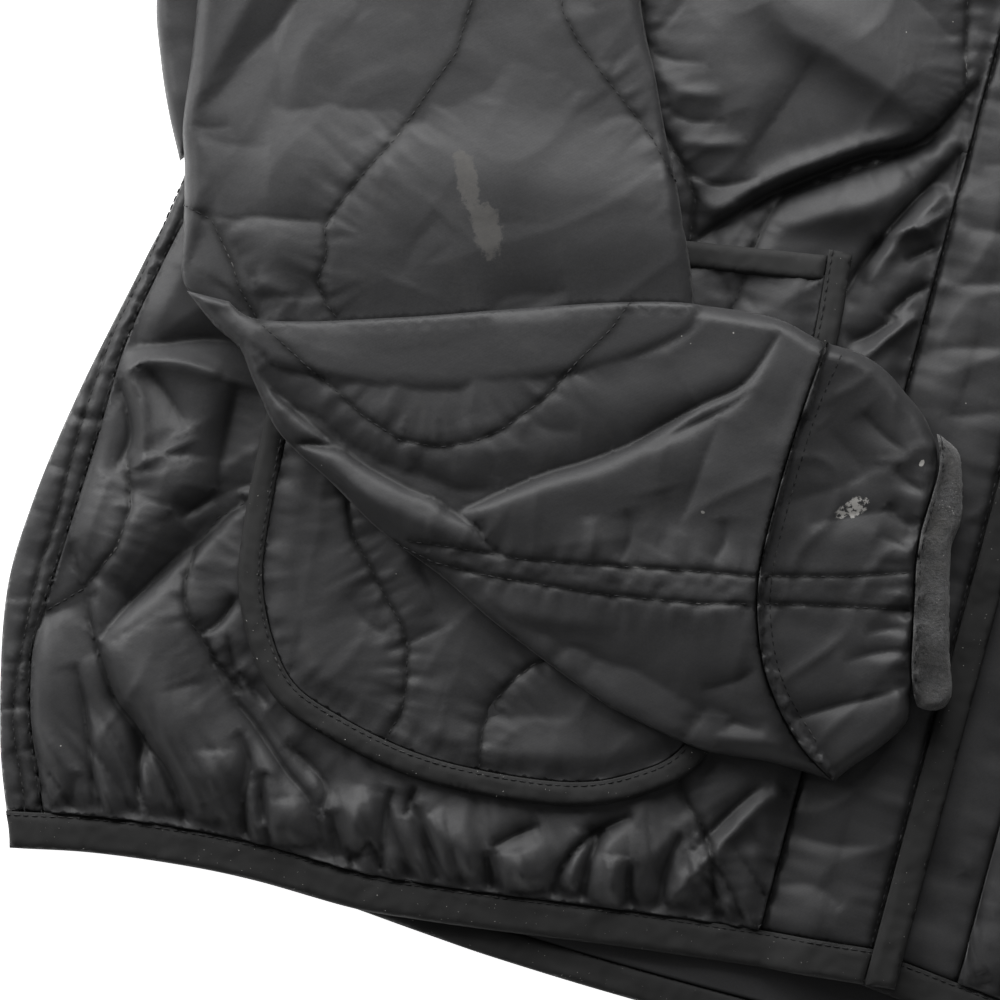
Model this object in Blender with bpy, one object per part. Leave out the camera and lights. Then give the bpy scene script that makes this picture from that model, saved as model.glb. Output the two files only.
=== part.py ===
"""Quilted liner jacket, laid flat with its fronts closed and its sleeves folded over them.

+X is to the onlooker's right and +Y runs from the hem to the neck, so the wearer's right side is at -X. The
underside of the back lies at Z = 0. Lengths are in millimetres until the meshes are made.
"""

import bpy
import numpy as np
from mathutils import Vector
from mathutils.geometry import delaunay_2d_cdt

MM = 0.001
GAP = 0.3  # between two pieces that are sewn together or lie on each other

# Heights of the layers, from the surface up
BACK_TOP = 4.0
FRONT_FLOOR = BACK_TOP + GAP
SEAM_THICK = 2.2  # a quilted panel along its stitching
PUFF = 4.0  # how far the padding stands above the stitching
EDGE_SHARE = 0.3  # of its padding that a quilted panel has at its edges
SLACK = 0.6  # how far a fold or gather can press a panel below its stitching
FOLD_SHARE = 0.6  # of a fold's height that shows on padded cloth
FRONT_TOP = FRONT_FLOOR + SEAM_THICK + PUFF
POCKET_FLOOR = FRONT_TOP + GAP
POCKET_PUFF = 2.7
POCKET_TOP = POCKET_FLOOR + SEAM_THICK + POCKET_PUFF
BAND_THICK = 3.4
BAND_PUFF = 1.2
BINDING_THICK = 4.6
BINDING_EDGE = 2.2  # a binding's height at its edges
BACK_BINDING_EDGE = 2.0
LAP_FLOOR = FRONT_FLOOR + BINDING_THICK + GAP  # the right front's edge, where it lies over the left front's

# Sleeves: the height of each stretch of tube, and the flat space inside it
ARM_LOFT = 10.5
FOREARM_LOFT = 12.0
CUFF_LOFT = 9.0
CUFF_BINDING_LOFT = CUFF_LOFT + 0.6
SLEEVE_EDGE = 3.0  # a sleeve's height at its outline
SLEEVE_DIP = 2.6  # along its stitching
SLEEVE_LEAST = 2.5  # its least height, in the deepest fold
LOBE_TOP = FRONT_TOP + 1.5
LOBE_EDGE = 2.5
HOLLOW_FLOOR = 3.0
HOLLOW = 2.6
FOREARM_LIFT = 1.5  # the forearm lies this much higher where it crosses the upper arm
FOREARM_CLEAR = 0.05  # and its underside this much

# Plan sizes
BINDING = 11.0
POCKET_BINDING = 8.5
POCKET_INSET = 1.5  # of the mouth's tape from the pocket's corners
FRONT_LAP = 15.0  # each front's edge past the centre line
BAND = 40.0
BAND_SEAM = BINDING - FRONT_LAP + BAND  # from the centre line
SIDE_ROLL = 14.0  # the back turns over each side this far, up to the side seam
SHOULDER_ROLL = 8.0
HEM_Y = -348.0

# Onion quilting: upright waves in mirrored pairs
QUILT_PITCH = 80.0
QUILT_SWING = 26.0
QUILT_REPEAT = 200.0
QUILT_VALLEY = 13.0

# How wide rounded edges, dips and fades are
EDGE_FADE = 12.0  # a quilted panel's padding grows over this distance from its edges
BAND_ROUND = 6.0
BINDING_ROUND = 4.5
BACK_BINDING_ROUND = 4.0
ROLL_ROUND = 5.0
LOBE_ROUND = 5.0
CUFF_ROUND = 9.0
FOREARM_ROUND = 9.0
ARM_ROUND = 11.0
RING_ROUND = 5.0
GATHER_WIDTH = 4.0
GATHER_DEPTH = 1.7
PUCKER_PITCH = 22
PUCKER_DEPTH = 0.8
SIDE_ROLL_GROWS = (-332, -312)  # over these Y
SIDE_ROLL_FADES = (35, 60)
SHOULDER_ROLL_FADES = (215, 235)  # over these X
ROLL_HEIGHT = 1.6
ROLL_LIP = 2.5
POCKET_RISE = (8, 40)  # a sleeve comes down from the pocket's level over these distances

# Curves of the wearer's right half, each in the order that runs round a front anticlockwise: rows of x, y
FRONT_HEM = [
    (-335, -354), (-299, -350), (-245, -344), (-190, -341), (-130, -338), (-68, -329), (15, -320), (45, -318),
]
NECK_FRONT = [(30, 256), (0, 257), (-25, 261), (-55, 278), (-78, 311), (-87, 363)]
SHOULDER = [(-60, 356.7), (-290, 296.8)]
ARMHOLE = [(-269, 316), (-262, 271), (-257, 218), (-264, 155), (-283, 109), (-306, 83)]
SIDE = [
    (-296, 115), (-297, 88), (-296, 31), (-297, -40), (-300, -109), (-306, -142),
    (-316, -191), (-322, -235), (-322, -270), (-311, -318), (-299, -350), (-297, -362),
]
NECK_BACK = [(-95, 358), (-72, 345), (-40, 337), (0, 334), (40, 337), (72, 345), (95, 358)]
POCKET = [
    (-248, -104), (-250, -160), (-248, -215), (-242, -247), (-224, -275), (-199, -286), (-161, -292),
    (-115, -288), (-88, -277), (-71, -260), (-63, -225), (-62, -170), (-63, -110), (-66, -75),
]
# The sleeve that the first fold lays over the front, down to the elbow
UPPER_ARM = [
    (-268, 296), (-289, 230), (-303, 155), (-312, 83), (-316, 16), (-313, -30), (-307, -69), (-303, -92),
    (-296, -117), (-288, -146), (-279, -160), (-252, -172), (-200, -160), (-150, -140), (-119, -119),
    (-115, -108), (-128, -76), (-141, -50), (-150, -31), (-161, -8), (-180, 47), (-205, 119), (-232, 197),
    (-254, 264), (-261, 290),
]
# The layer of the sleeve that still lies beside the body, under that fold
UNDER_LOBE = [
    (-270, 296), (-291, 230), (-306, 155), (-317, 83), (-324, 10), (-327, -30), (-325, -52), (-318, -72),
    (-311, -87), (-304, -99),
]
# The forearm, folded across the front: its lower edge out to the cuff, and its upper edge back to the elbow
FOREARM_LOWER = [
    (-287, -148), (-275, -157), (-264, -163), (-257, -172), (-246, -185), (-236, -192), (-222, -199), (-201, -211),
    (-176, -221), (-151, -233), (-113, -248), (-97, -252), (-71, -256), (-48, -254), (-25, -255),
]
CUFF_SEAM = [
    (-25, -255), (-41, -245), (-55, -230), (-64, -214), (-70, -192), (-71, -162), (-70, -133), (-68, -108),
]
FOREARM_UPPER = [
    (-68, -108), (-88, -104), (-116, -107), (-140, -113), (-173, -124), (-213, -138), (-258, -151), (-274, -147),
]
CUFF_LOWER = [(-25, -255), (-10, -244), (0, -235), (1, -224)]
CUFF_END = [(1, -224), (-5, -216), (-10, -207), (-15, -187), (-20, -159), (-25, -134)]
CUFF_UPPER = [(-25, -134), (-31, -121), (-50, -113), (-68, -108)]
# The other sleeve, nearly straight, drawn on the wearer's right and mirrored when it is made
STRAIGHT_OUTER = [
    (-268, 296), (-289, 230), (-303, 155), (-312, 83), (-316, 16), (-312, -40), (-303, -100), (-288, -160),
    (-265, -212), (-238, -262),
]
STRAIGHT_SEAM = [(-238, -262), (-211, -252), (-165, -240), (-128, -232)]
STRAIGHT_INNER = [
    (-128, -232), (-136, -170), (-142, -110), (-150, -50), (-163, -8), (-180, 47), (-205, 119), (-232, 197),
    (-254, 264), (-261, 290),
]
STRAIGHT_CUFF_OUTER = [(-238, -262), (-229, -290), (-212, -312)]
STRAIGHT_CUFF_END = [(-212, -312), (-165, -301), (-120, -287)]
STRAIGHT_CUFF_INNER = [(-120, -287), (-119, -262), (-128, -232)]
# The spaces inside the sleeves, open at the cuffs
BENT_HOLLOW = [
    (-150, -215), (-80, -238), (-40, -238), (-6, -226), (22, -222), (10, -140), (-28, -141), (-72, -122),
    (-120, -128), (-160, -150),
]
STRAIGHT_HOLLOW = [
    (-205, -150), (-160, -150), (-140, -225), (-131, -262), (-124, -330), (-204, -330), (-218, -285), (-222, -240),
]

# Stitching of the sleeves' quilting, as curves of x, y
SLEEVE_QUILT = [
    [(-290, 124), (-262, 62), (-232, 16), (-214, -18), (-219, -52), (-236, -86), (-246, -112), (-236, -141)],
    [(-215, 114), (-204, 62), (-196, 10), (-180, -28), (-150, -50), (-130, -70)],
    [(-262, 238), (-250, 176), (-215, 114)],
]
FOREARM_QUILT = [
    [(-256, -154), (-240, -162), (-212, -177), (-195, -179), (-170, -167), (-149, -138), (-139, -117)],
    [(-204, -212), (-157, -210), (-122, -205), (-92, -199), (-72, -193)],
]
STRAIGHT_QUILT = [
    [(-290, 124), (-262, 62), (-232, 16), (-220, -30), (-240, -90), (-262, -130), (-250, -190), (-205, -245)],
    [(-262, 238), (-250, 176), (-215, 114), (-204, 62), (-196, 10), (-190, -30), (-160, -90), (-175, -160),
     (-180, -240)],
]
POCKET_QUILT = [
    [(-215, -100), (-196, -160), (-212, -212), (-186, -236), (-180, -280)],
    [(-95, -90), (-118, -160), (-100, -215), (-134, -244), (-149, -285)],
]
# Largest folds of the cloth, as ridges or troughs along straight lines
FOLD_COLUMNS = ("x0", "y0", "x1", "y1", "width", "height")
FRONT_FOLDS = [
    (-62, -62, -130, -88, 9, 1.6),
    (-40, -20, -100, -72, 8, -2.0),
    (-36, 20, -120, 40, 14, 1.4),
    (-300, -180, -262, -250, 10, 1.5),
    (-288, -200, -252, -292, 8, -1.8),
    (-276, -250, -236, -318, 8, 1.6),
    (-262, -300, -240, -330, 5, -1.6),
    (-60, -120, -38, -160, 7, 1.2),
]
ARM_FOLDS = [
    (-300, -60, -170, 30, 16, 2.0),
    (-312, -20, -230, 60, 14, -2.2),
    (-296, -80, -235, -70, 9, -1.4),
    (-286, -125, -250, -128, 6, -1.8),
    (-215, 40, -170, -10, 16, 1.6),
]
FOREARM_FOLDS = [
    (-88, -108, -112, -132, 6, -1.8),
    (-112, -132, -200, -178, 8, -2.2),
    (-222, -196, -160, -180, 9, 2.4),
    (-252, -176, -196, -202, 5, -2.6),
    (-100, -214, -60, -232, 10, 1.8),
    (-110, -246, -70, -240, 7, -1.6),
]
POCKET_FOLDS = [
    (-236, -190, -190, -240, 10, 1.2),
    (-190, -222, -176, -270, 6, -1.6),
    (-148, -282, -132, -246, 6, -1.4),
]
# Gathers above the hem: the first one's X, the step to the next, how many, how tall, and how far they lean
GATHER_COLUMNS = ("start", "pitch", "count", "length", "lean")
HEM_GATHERS = (-283, 16.5, 15, 30, 5)

# Spacing of mesh points
CLOTH_SPACING = 15.0
CURVE_STEP = 12.0
BACK_SPACING = 40.0
UNDER_SPACING = 20.0
BAND_SPACING = 13.0
TAPE_SPACING = 14.0
CUFF_SPACING = 11.0
RING_SPACING = 9.0
RIM = 4.0  # a row of points this far inside every outline
SHARP_ANGLE = 0.9
MATERIALS = {
    "nylon": ((0.045, 0.045, 0.048, 1.0), 0.42),
    "tape": ((0.024, 0.024, 0.025, 1.0), 0.85),
}


def through(rows, step=CLOTH_SPACING):
    """A smooth curve through the rows, as points about step apart."""
    rows = np.array(rows, float)
    if len(rows) == 2:
        line = rows
    else:
        ends = np.vstack([2 * rows[0] - rows[1], rows, 2 * rows[-1] - rows[-2]])
        t = np.linspace(0, 1, 12, endpoint=False)[:, None]
        pieces = []
        for a, b, c, d in zip(ends, ends[1:], ends[2:], ends[3:]):
            bend = (2 * a - 5 * b + 4 * c - d) * t**2 + (3 * b - a - 3 * c + d) * t**3
            pieces.append(0.5 * (2 * b + (c - a) * t + bend))
        line = np.vstack([*pieces, rows[-1:]])
    along = np.concatenate([[0], np.cumsum(np.linalg.norm(np.diff(line, axis=0), axis=1))])
    at = np.linspace(0, along[-1], max(2, int(round(along[-1] / step)) + 1))
    return np.stack([np.interp(at, along, line[:, k]) for k in range(2)], axis=1)


def beside(curve, distance):
    """The curve moved to its left."""
    run = np.gradient(curve, axis=0)
    run /= np.maximum(np.linalg.norm(run, axis=1), 1e-9)[:, None]
    return curve + distance * np.stack([-run[:, 1], run[:, 0]], axis=1)


def longer(curve, length=12.0):
    """The curve run on straight at both its ends."""
    first, last = curve[0] - curve[1], curve[-1] - curve[-2]
    before = curve[0] + length * first / np.linalg.norm(first)
    after = curve[-1] + length * last / np.linalg.norm(last)
    return np.vstack([before, curve, after])


def mirrored(curve):
    """The same curve on the wearer's left, run backwards so that it still turns anticlockwise."""
    return np.array(curve, float)[::-1] * (-1, 1)


def as_drawn(curve):
    """The same curve on the wearer's right."""
    return np.array(curve, float)


def crossing(a, b):
    """Where curve a, near its end, meets curve b, and the index of the last point before it on each."""
    for i in reversed(range(len(a) - 1)):
        for j in range(len(b) - 1):
            p, r, q, s = a[i], a[i + 1] - a[i], b[j], b[j + 1] - b[j]
            across = r[0] * s[1] - r[1] * s[0]
            if abs(across) < 1e-9:
                continue
            t = ((q - p)[0] * s[1] - (q - p)[1] * s[0]) / across
            u = ((q - p)[0] * r[1] - (q - p)[1] * r[0]) / across
            if -1e-9 <= t <= 1 + 1e-9 and -1e-9 <= u <= 1 + 1e-9:
                return p + t * r, i, j
    raise ValueError("two neighbouring edges of a piece don't meet")


def outline(*curves):
    """The closed outline between curves that follow each other and cross at its corners."""
    corners = [crossing(c, curves[(k + 1) % len(curves)]) for k, c in enumerate(curves)]
    points = []
    for k, curve in enumerate(curves):
        start, _, first = corners[k - 1]
        end, last, _ = corners[k]
        inner = curve[first + 1 : last + 1]
        apart = np.minimum(np.linalg.norm(inner - start, axis=1), np.linalg.norm(inner - end, axis=1))
        points += [start, *inner[apart > 1.5]]
    return np.array(points)


def looped(*curves):
    """The closed outline of curves that already end where the next begins."""
    return np.vstack([curve[:-1] for curve in curves])


def straight(x0, y0, x1, y1):
    return through([(x0, y0), (x1, y1)])


def nearest(points, line, closed=False):
    """The distance of each point from a line of points."""
    a = np.array(line, float)
    b = np.roll(a, -1, axis=0) if closed else a[1:]
    a = a if closed else a[:-1]
    run = b - a
    best = np.full(len(points), np.inf)
    for start, along in zip(a, run):
        t = np.clip(((points - start) @ along) / max(along @ along, 1e-12), 0, 1)
        best = np.minimum(best, np.linalg.norm(points - start - t[:, None] * along, axis=1))
    return best


def within(points, polygon):
    """True for each point inside the polygon."""
    result = np.zeros(len(points), bool)
    x, y = points.T
    for (x0, y0), (x1, y1) in zip(polygon, np.roll(polygon, -1, axis=0)):
        if y0 != y1:
            result ^= ((y0 > y) != (y1 > y)) & (x < (x1 - x0) * (y - y0) / (y1 - y0) + x0)
    return result


def tidy(border):
    """An outline that turns anticlockwise, without points that lie on each other."""
    apart = np.linalg.norm(border - np.roll(border, 1, axis=0), axis=1) > 0.2
    border = border[apart]
    x, y = border.T
    area = np.sum(x * np.roll(y, -1) - np.roll(x, -1) * y)
    return border if area > 0 else border[::-1]


def scattered(border, spacing, features):
    """The points inside a piece that its triangles use: its features', and a grid between them."""
    rim = beside(np.vstack([border, border[:1]]), RIM)[:-1]
    kept = np.zeros((0, 2))
    low, high = border.min(0), border.max(0)
    columns, rows = np.arange(low[0], high[0], spacing), np.arange(low[1], high[1], spacing)
    grid = np.stack(np.meshgrid(columns, rows), -1).reshape(-1, 2)
    for points, clear in [(rim, 3.4), *[(f, 2.6) for f in features], (grid, 0.5 * spacing)]:
        points = points[within(points, border)]
        points = points[nearest(points, border, True) > min(clear, 0.45 * spacing)]
        for p in points:
            if not len(kept) or np.linalg.norm(kept - p, axis=1).min() > min(clear, 0.5 * spacing):
                kept = np.vstack([kept, p])
    return kept


def triangles(border, inner):
    """Triangles that fill a border through the inner points."""
    places = [Vector(p) for p in [*border, *inner]]
    found, _, faces, *_ = delaunay_2d_cdt(places, [], [list(range(len(border)))], 1, 1e-5)
    if len(found) != len(places):
        raise ValueError("the outline of a piece crosses itself")
    return faces


def piece(name, material, border, top, floor, spacing=CLOTH_SPACING, features=(), floor_spacing=None):
    """A closed solid of cloth over an outline, from its floor's heights up to its top's."""
    border = tidy(border)
    inner = scattered(border, spacing, features)
    under = scattered(border, floor_spacing, ()) if floor_spacing else np.zeros((0, 2))
    n = len(border)
    upper, lower = np.vstack([border, inner]), np.vstack([border, under])
    z_up = top(upper, nearest(upper, border, True))
    z_low = floor(lower)
    places = [(*p, z) for p, z in zip(upper, z_up)] + [(*p, z) for p, z in zip(lower, z_low)]
    first = len(upper)
    faces = [tuple(f) for f in triangles(border, inner)]
    faces += [tuple(first + i for i in reversed(f)) for f in triangles(border, under)]
    faces += [((i + 1) % n, i, first + i, first + (i + 1) % n) for i in range(n)]
    mesh = bpy.data.meshes.new(name)
    mesh.from_pydata([tuple(MM * c for c in p) for p in places], [], faces)
    mesh.validate()
    mesh.shade_smooth()
    mesh.set_sharp_from_angle(angle=SHARP_ANGLE)
    mesh.materials.append(bpy.data.materials[material])
    obj = bpy.data.objects.new(name, mesh)
    bpy.context.scene.collection.objects.link(obj)
    return obj


def joined(obj, other, operation):
    """Join another solid to a piece, or cut it away, and remove the other."""
    cut = obj.modifiers.new(operation.lower(), "BOOLEAN")
    cut.operation = operation
    cut.object = other
    bpy.context.view_layer.update()
    mesh = bpy.data.meshes.new_from_object(obj.evaluated_get(bpy.context.evaluated_depsgraph_get()))
    obj.modifiers.clear()
    obj.data = mesh
    return obj


def level(height):
    """A flat floor."""
    return lambda points: np.full(len(points), float(height))


def eased(distance, start, end):
    """0 up to start and 1 past end, smoothly."""
    t = np.clip((distance - start) / (end - start), 0, 1)
    return t * t * (3 - 2 * t)


def rounded(edge, radius):
    """The share of its height that a rounded edge has reached at a distance from the outline."""
    return np.sqrt(1 - (1 - np.clip(edge / radius, 0, 1)) ** 2)


def folds(points, rows):
    """The height that the folds of a table add."""
    total = np.zeros(len(points))
    for row in rows:
        f = dict(zip(FOLD_COLUMNS, row))
        start, run = np.array([f["x0"], f["y0"]]), np.array([f["x1"] - f["x0"], f["y1"] - f["y0"]])
        t = np.clip(((points - start) @ run) / (run @ run), 0, 1)
        away = np.linalg.norm(points - start - t[:, None] * run, axis=1)
        total += f["height"] * np.exp(-((away / f["width"]) ** 2)) * (0.35 + 0.65 * np.sin(np.pi * t))
    return total


def folds_mirrored(rows):
    """A table of folds for the other side."""
    return [(-x0, y0, -x1, y1, width, height) for x0, y0, x1, y1, width, height in rows]


def onion_lines(x_low, x_high, y_low, y_high):
    """The quilting lines over a stretch of the body."""
    y = np.arange(y_low, y_high, CLOTH_SPACING)
    lines = []
    for k in range(int(x_low // QUILT_PITCH), int(x_high // QUILT_PITCH) + 2):
        sway = QUILT_SWING * (-1) ** k * np.cos(2 * np.pi * y / QUILT_REPEAT)
        lines.append(np.stack([k * QUILT_PITCH + sway, y], axis=1))
    return lines


def padding(points, lines):
    """0 along the stitching of a quilted panel and 1 in the middle of its padding."""
    away = np.min([nearest(points, line) for line in lines], axis=0)
    return 1 - np.exp(-((away / QUILT_VALLEY) ** 2))


def gather_lines(hem):
    """The short valleys that rise from the hem binding, uneven in place, height and lean."""
    g = dict(zip(GATHER_COLUMNS, HEM_GATHERS))
    lines = []
    for k in range(g["count"]):
        x = g["start"] + k * g["pitch"] + 3 * np.sin(2.3 * k)
        y = np.interp(x, *hem.T) + BINDING + 2
        tall = g["length"] * (0.75 + 0.25 * np.sin(1.7 * k))
        lines.append(straight(x, y, x + g["lean"] * np.cos(1.1 * k), y + tall))
    return lines


def quilted(floor, lines, valleys=(), rows=(), puff=PUFF):
    """Top of a quilted panel: thin at its stitching and edges, puffed between, with gathers and folds."""

    def height(points, edge):
        full = EDGE_SHARE + (1 - EDGE_SHARE) * eased(edge, 0, EDGE_FADE)
        z = puff * padding(points, lines) * full + FOLD_SHARE * folds(points, rows) * full
        for valley in valleys:
            dip = np.exp(-((nearest(points, valley) / GATHER_WIDTH) ** 2))
            z -= GATHER_DEPTH * dip * eased(edge, 0, GATHER_WIDTH)
        return floor(points) + SEAM_THICK + np.clip(z, -SLACK, puff)

    return height


def bound(floor):
    """Top of a binding: a tape rolled over the edge, so round along both its sides."""

    def height(points, edge):
        return floor(points) + BINDING_EDGE + (BINDING_THICK - BINDING_EDGE) * rounded(edge, BINDING_ROUND)

    return height


def back_piece():
    """The back, flat underneath, with its sides and shoulders turned over to the front's seams."""
    side_r, side_l = through(SIDE), through(mirrored(SIDE))
    shoulder_r, shoulder_l = through(SHOULDER), through(mirrored(SHOULDER))
    hem = straight(-340, HEM_Y + BINDING + GAP, 340, HEM_Y + BINDING + GAP)
    neck = beside(through(NECK_BACK)[::-1], BINDING + GAP)
    border = outline(
        hem, side_l, through(mirrored(ARMHOLE)), shoulder_l, neck, shoulder_r, through(ARMHOLE), side_r,
    )
    rolls = [(side, SIDE_ROLL) for side in (side_r, side_l)]
    rolls += [(shoulder, SHOULDER_ROLL) for shoulder in (shoulder_r, shoulder_l)]
    rises = [beside(curve, width - inside) for inside in (3.5, 0.3) for curve, width in rolls]

    def top(points, edge):
        z = np.full(len(points), BACK_TOP)
        for curve, width in rolls:
            d = nearest(points, curve)
            if width == SIDE_ROLL:
                y = points[:, 1]
                share = (1 - eased(y, *SIDE_ROLL_FADES)) * eased(y, *SIDE_ROLL_GROWS)
            else:
                share = 1 - eased(np.abs(points[:, 0]), *SHOULDER_ROLL_FADES)
            rise = FRONT_FLOOR + SEAM_THICK - BACK_TOP + ROLL_HEIGHT * rounded(d, ROLL_ROUND)
            rise -= ROLL_LIP * (edge < 1)
            z = np.where(d < width - 2, np.maximum(z, BACK_TOP + rise * share), z)
        return z

    return piece("back", "nylon", border, top, level(0), BACK_SPACING, rises)


def side_pieces(side, mirror):
    """One front with its band, bindings and pocket."""
    turn = mirrored if mirror else as_drawn
    sign = -1 if mirror else 1
    hem, neck, shoulder = (through(turn(rows)) for rows in (FRONT_HEM, NECK_FRONT, SHOULDER))
    armhole, flank = through(turn(ARMHOLE)), through(turn(SIDE))
    lap = not mirror

    def floor(points):
        """The right front steps up over the left front's edge."""
        rise = eased(points[:, 0], -BAND_SEAM + 2, -FRONT_LAP - 2) if lap else np.zeros(len(points))
        return FRONT_FLOOR + (LAP_FLOOR - FRONT_FLOOR) * rise

    def upright(from_edge):
        """A line along the front edge, on the front's own side of it."""
        x = sign * (FRONT_LAP - from_edge)
        return straight(x, -345 if lap else 285, x, 285 if lap else -345)

    def order(*curves):
        """Curves given as they follow each other round the right front."""
        return outline(*(curves[::-1] if mirror else curves))

    seam = GAP / 2
    cloth_hem, cloth_neck = beside(hem, BINDING + GAP), beside(neck, BINDING + GAP)
    quilt_x = (-330, -BAND_SEAM) if lap else (BAND_SEAM, 330)
    quilt = onion_lines(*quilt_x, -360, 345)
    gathers = gather_lines(through(FRONT_HEM))
    rows = FRONT_FOLDS
    if mirror:
        gathers = [g * (-1, 1) for g in gathers]
        rows = folds_mirrored(FRONT_FOLDS)
    front = order(
        cloth_hem, upright(BINDING + BAND + seam), cloth_neck, beside(shoulder, SHOULDER_ROLL + GAP),
        armhole, beside(flank, SIDE_ROLL + GAP),
    )
    front_floor = level(FRONT_FLOOR)
    front_top = quilted(front_floor, quilt, gathers, rows)
    piece(f"front_{side}", "nylon", front, front_top, front_floor, CLOTH_SPACING, [*quilt, *gathers])
    band = order(cloth_hem, upright(BINDING + GAP), cloth_neck, upright(BINDING + BAND - seam)[::-1])
    start, end = sign * (FRONT_LAP - BINDING - 6), sign * (-BAND_SEAM + 6)
    puckers = [straight(start, y, end, y + 4) for y in range(-300, 240, PUCKER_PITCH)]

    def band_top(points, edge):
        z = BAND_THICK + BAND_PUFF * rounded(edge, BAND_ROUND)
        for pucker in puckers:
            z -= PUCKER_DEPTH * np.exp(-((nearest(points, pucker) / GATHER_WIDTH) ** 2))
        return floor(points) + z

    piece(f"band_{side}", "nylon", band, band_top, floor, BAND_SPACING, puckers, BAND_SPACING)
    edge = order(hem, upright(0), neck, upright(BINDING)[::-1])
    edge_floor = level(LAP_FLOOR if lap else FRONT_FLOOR)
    piece(f"edge_binding_{side}", "tape", edge, bound(edge_floor), edge_floor, TAPE_SPACING)
    strip = order(hem, upright(BINDING + GAP), beside(hem, BINDING)[::-1], beside(flank, 0.5))
    piece(f"hem_binding_{side}", "tape", strip, bound(floor), floor, TAPE_SPACING, (), TAPE_SPACING)
    strip = order(neck, beside(shoulder, 1), beside(neck, BINDING)[::-1], upright(BINDING + GAP))
    piece(f"neck_binding_{side}", "tape", strip, bound(floor), floor, TAPE_SPACING, (), TAPE_SPACING)
    pocket_pieces(side, mirror, turn)


def pocket_pieces(side, mirror, turn):
    """A patch pocket on the front, with a tape round its sides and bottom and another along its mouth."""
    edge = through(turn(POCKET), CURVE_STEP)
    right, left = edge[-1], edge[0]
    along = (left - right) / np.linalg.norm(left - right)
    down = np.array([-along[1], along[0]])
    inner = longer(beside(edge, POCKET_BINDING + GAP))

    def across(below):
        """A line along the mouth, run on past both sides, this far below the corners."""
        return through([right - 20 * along + below * down, left + 20 * along + below * down], CURVE_STEP)

    panel = outline(inner, across(BINDING + GAP))
    lines = [through(turn(line)) for line in POCKET_QUILT]
    rows = folds_mirrored(POCKET_FOLDS) if mirror else POCKET_FOLDS
    floor = level(POCKET_FLOOR)
    top = quilted(floor, lines, (), rows, POCKET_PUFF)
    piece(f"pocket_{side}", "nylon", panel, top, floor, CLOTH_SPACING, lines)
    strip = np.vstack([edge, beside(edge, POCKET_BINDING)[::-1]])
    piece(f"pocket_binding_{side}", "tape", strip, bound(floor), floor, CURVE_STEP)
    middle = len(inner) // 2
    strip = outline(across(POCKET_INSET), inner[: middle + 1], across(BINDING)[::-1], inner[middle:])
    piece(f"mouth_binding_{side}", "tape", strip, bound(floor), floor, CURVE_STEP)


def sleeve_floor(sign):
    """The underside of a sleeve, over whatever it lies on."""
    pocket = np.array(POCKET, float) * (sign, 1)

    def floor(points):
        away = np.where(within(points, pocket), 0, nearest(points, pocket, True))
        away = np.where((sign * points[:, 0] > -75) & (points[:, 1] < -60), 0, away)
        return FRONT_TOP + GAP + (POCKET_TOP - FRONT_TOP) * (1 - eased(away, *POCKET_RISE))

    return floor


def puffed(floor, loft, radius, lines=(), rows=()):
    """Top of a sleeve that lies flat: a rounded edge, and padding that dips along its stitching."""

    def height(points, edge):
        share = rounded(edge, radius)
        dip = SLEEVE_DIP * (1 - padding(points, lines)) if len(lines) else 0
        z = SLEEVE_EDGE + (loft - SLEEVE_EDGE) * share + (folds(points, rows) - dip) * eased(edge, 1, 9)
        return floor(points) + np.clip(z, SLEEVE_LEAST, None)

    return height


def raised(floor, rise):
    """A floor this much higher."""

    def higher(points):
        return floor(points) + rise

    return higher


def open_up(parts, border, floor):
    """Cut the flat space inside a sleeve out of its parts."""
    low, high = raised(floor, HOLLOW_FLOOR), raised(floor, HOLLOW_FLOOR + HOLLOW)

    def top(points, edge):
        return high(points)

    space = piece("hollow", "nylon", border, top, low, UNDER_SPACING, (), UNDER_SPACING)
    for part in parts:
        joined(part, space, "DIFFERENCE")
    bpy.data.objects.remove(space)


def add_to(sleeve, part):
    """Make another solid part of a sleeve."""
    joined(sleeve, part, "UNION")
    bpy.data.objects.remove(part)


def lobe(side, mirror):
    """The sleeve's layer beside the body, up to the layer that is folded over it."""
    up_side, up_arm = beside(through(SIDE), -0.4)[::-1], beside(through(ARMHOLE), -0.4)[::-1]
    armpit, last, first = crossing(up_side, up_arm)
    up_side, up_arm = up_side[: last + 1], up_arm[first + 1 :]
    up_side, up_arm = up_side[up_side[:, 1] > -97], up_arm[up_arm[:, 1] < 292]
    border = np.vstack([through(UNDER_LOBE), up_side, [armpit], up_arm])
    border = mirrored(border) if mirror else border

    def top(points, edge):
        return LOBE_EDGE + (LOBE_TOP - LOBE_EDGE) * rounded(edge, LOBE_ROUND)

    return piece(f"lobe_{side}", "nylon", border, top, level(0), TAPE_SPACING)


def cuff_pieces(side, border, end, floor):
    """A cuff and the tape round its opening."""
    top = puffed(floor, CUFF_LOFT, CUFF_ROUND)
    cuff = piece(f"cuff_{side}", "nylon", border, top, floor, CUFF_SPACING, (), UNDER_SPACING)
    near, far = beside(end, -GAP / 2), beside(end, -BINDING)
    strip = looped(near[::-1], np.array([near[0], far[0]]), far, np.array([far[-1], near[-1]]))
    top = puffed(floor, CUFF_BINDING_LOFT, RING_ROUND)
    ring = piece(f"cuff_binding_{side}", "tape", strip, top, floor, RING_SPACING, (), UNDER_SPACING)
    return cuff, ring


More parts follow.
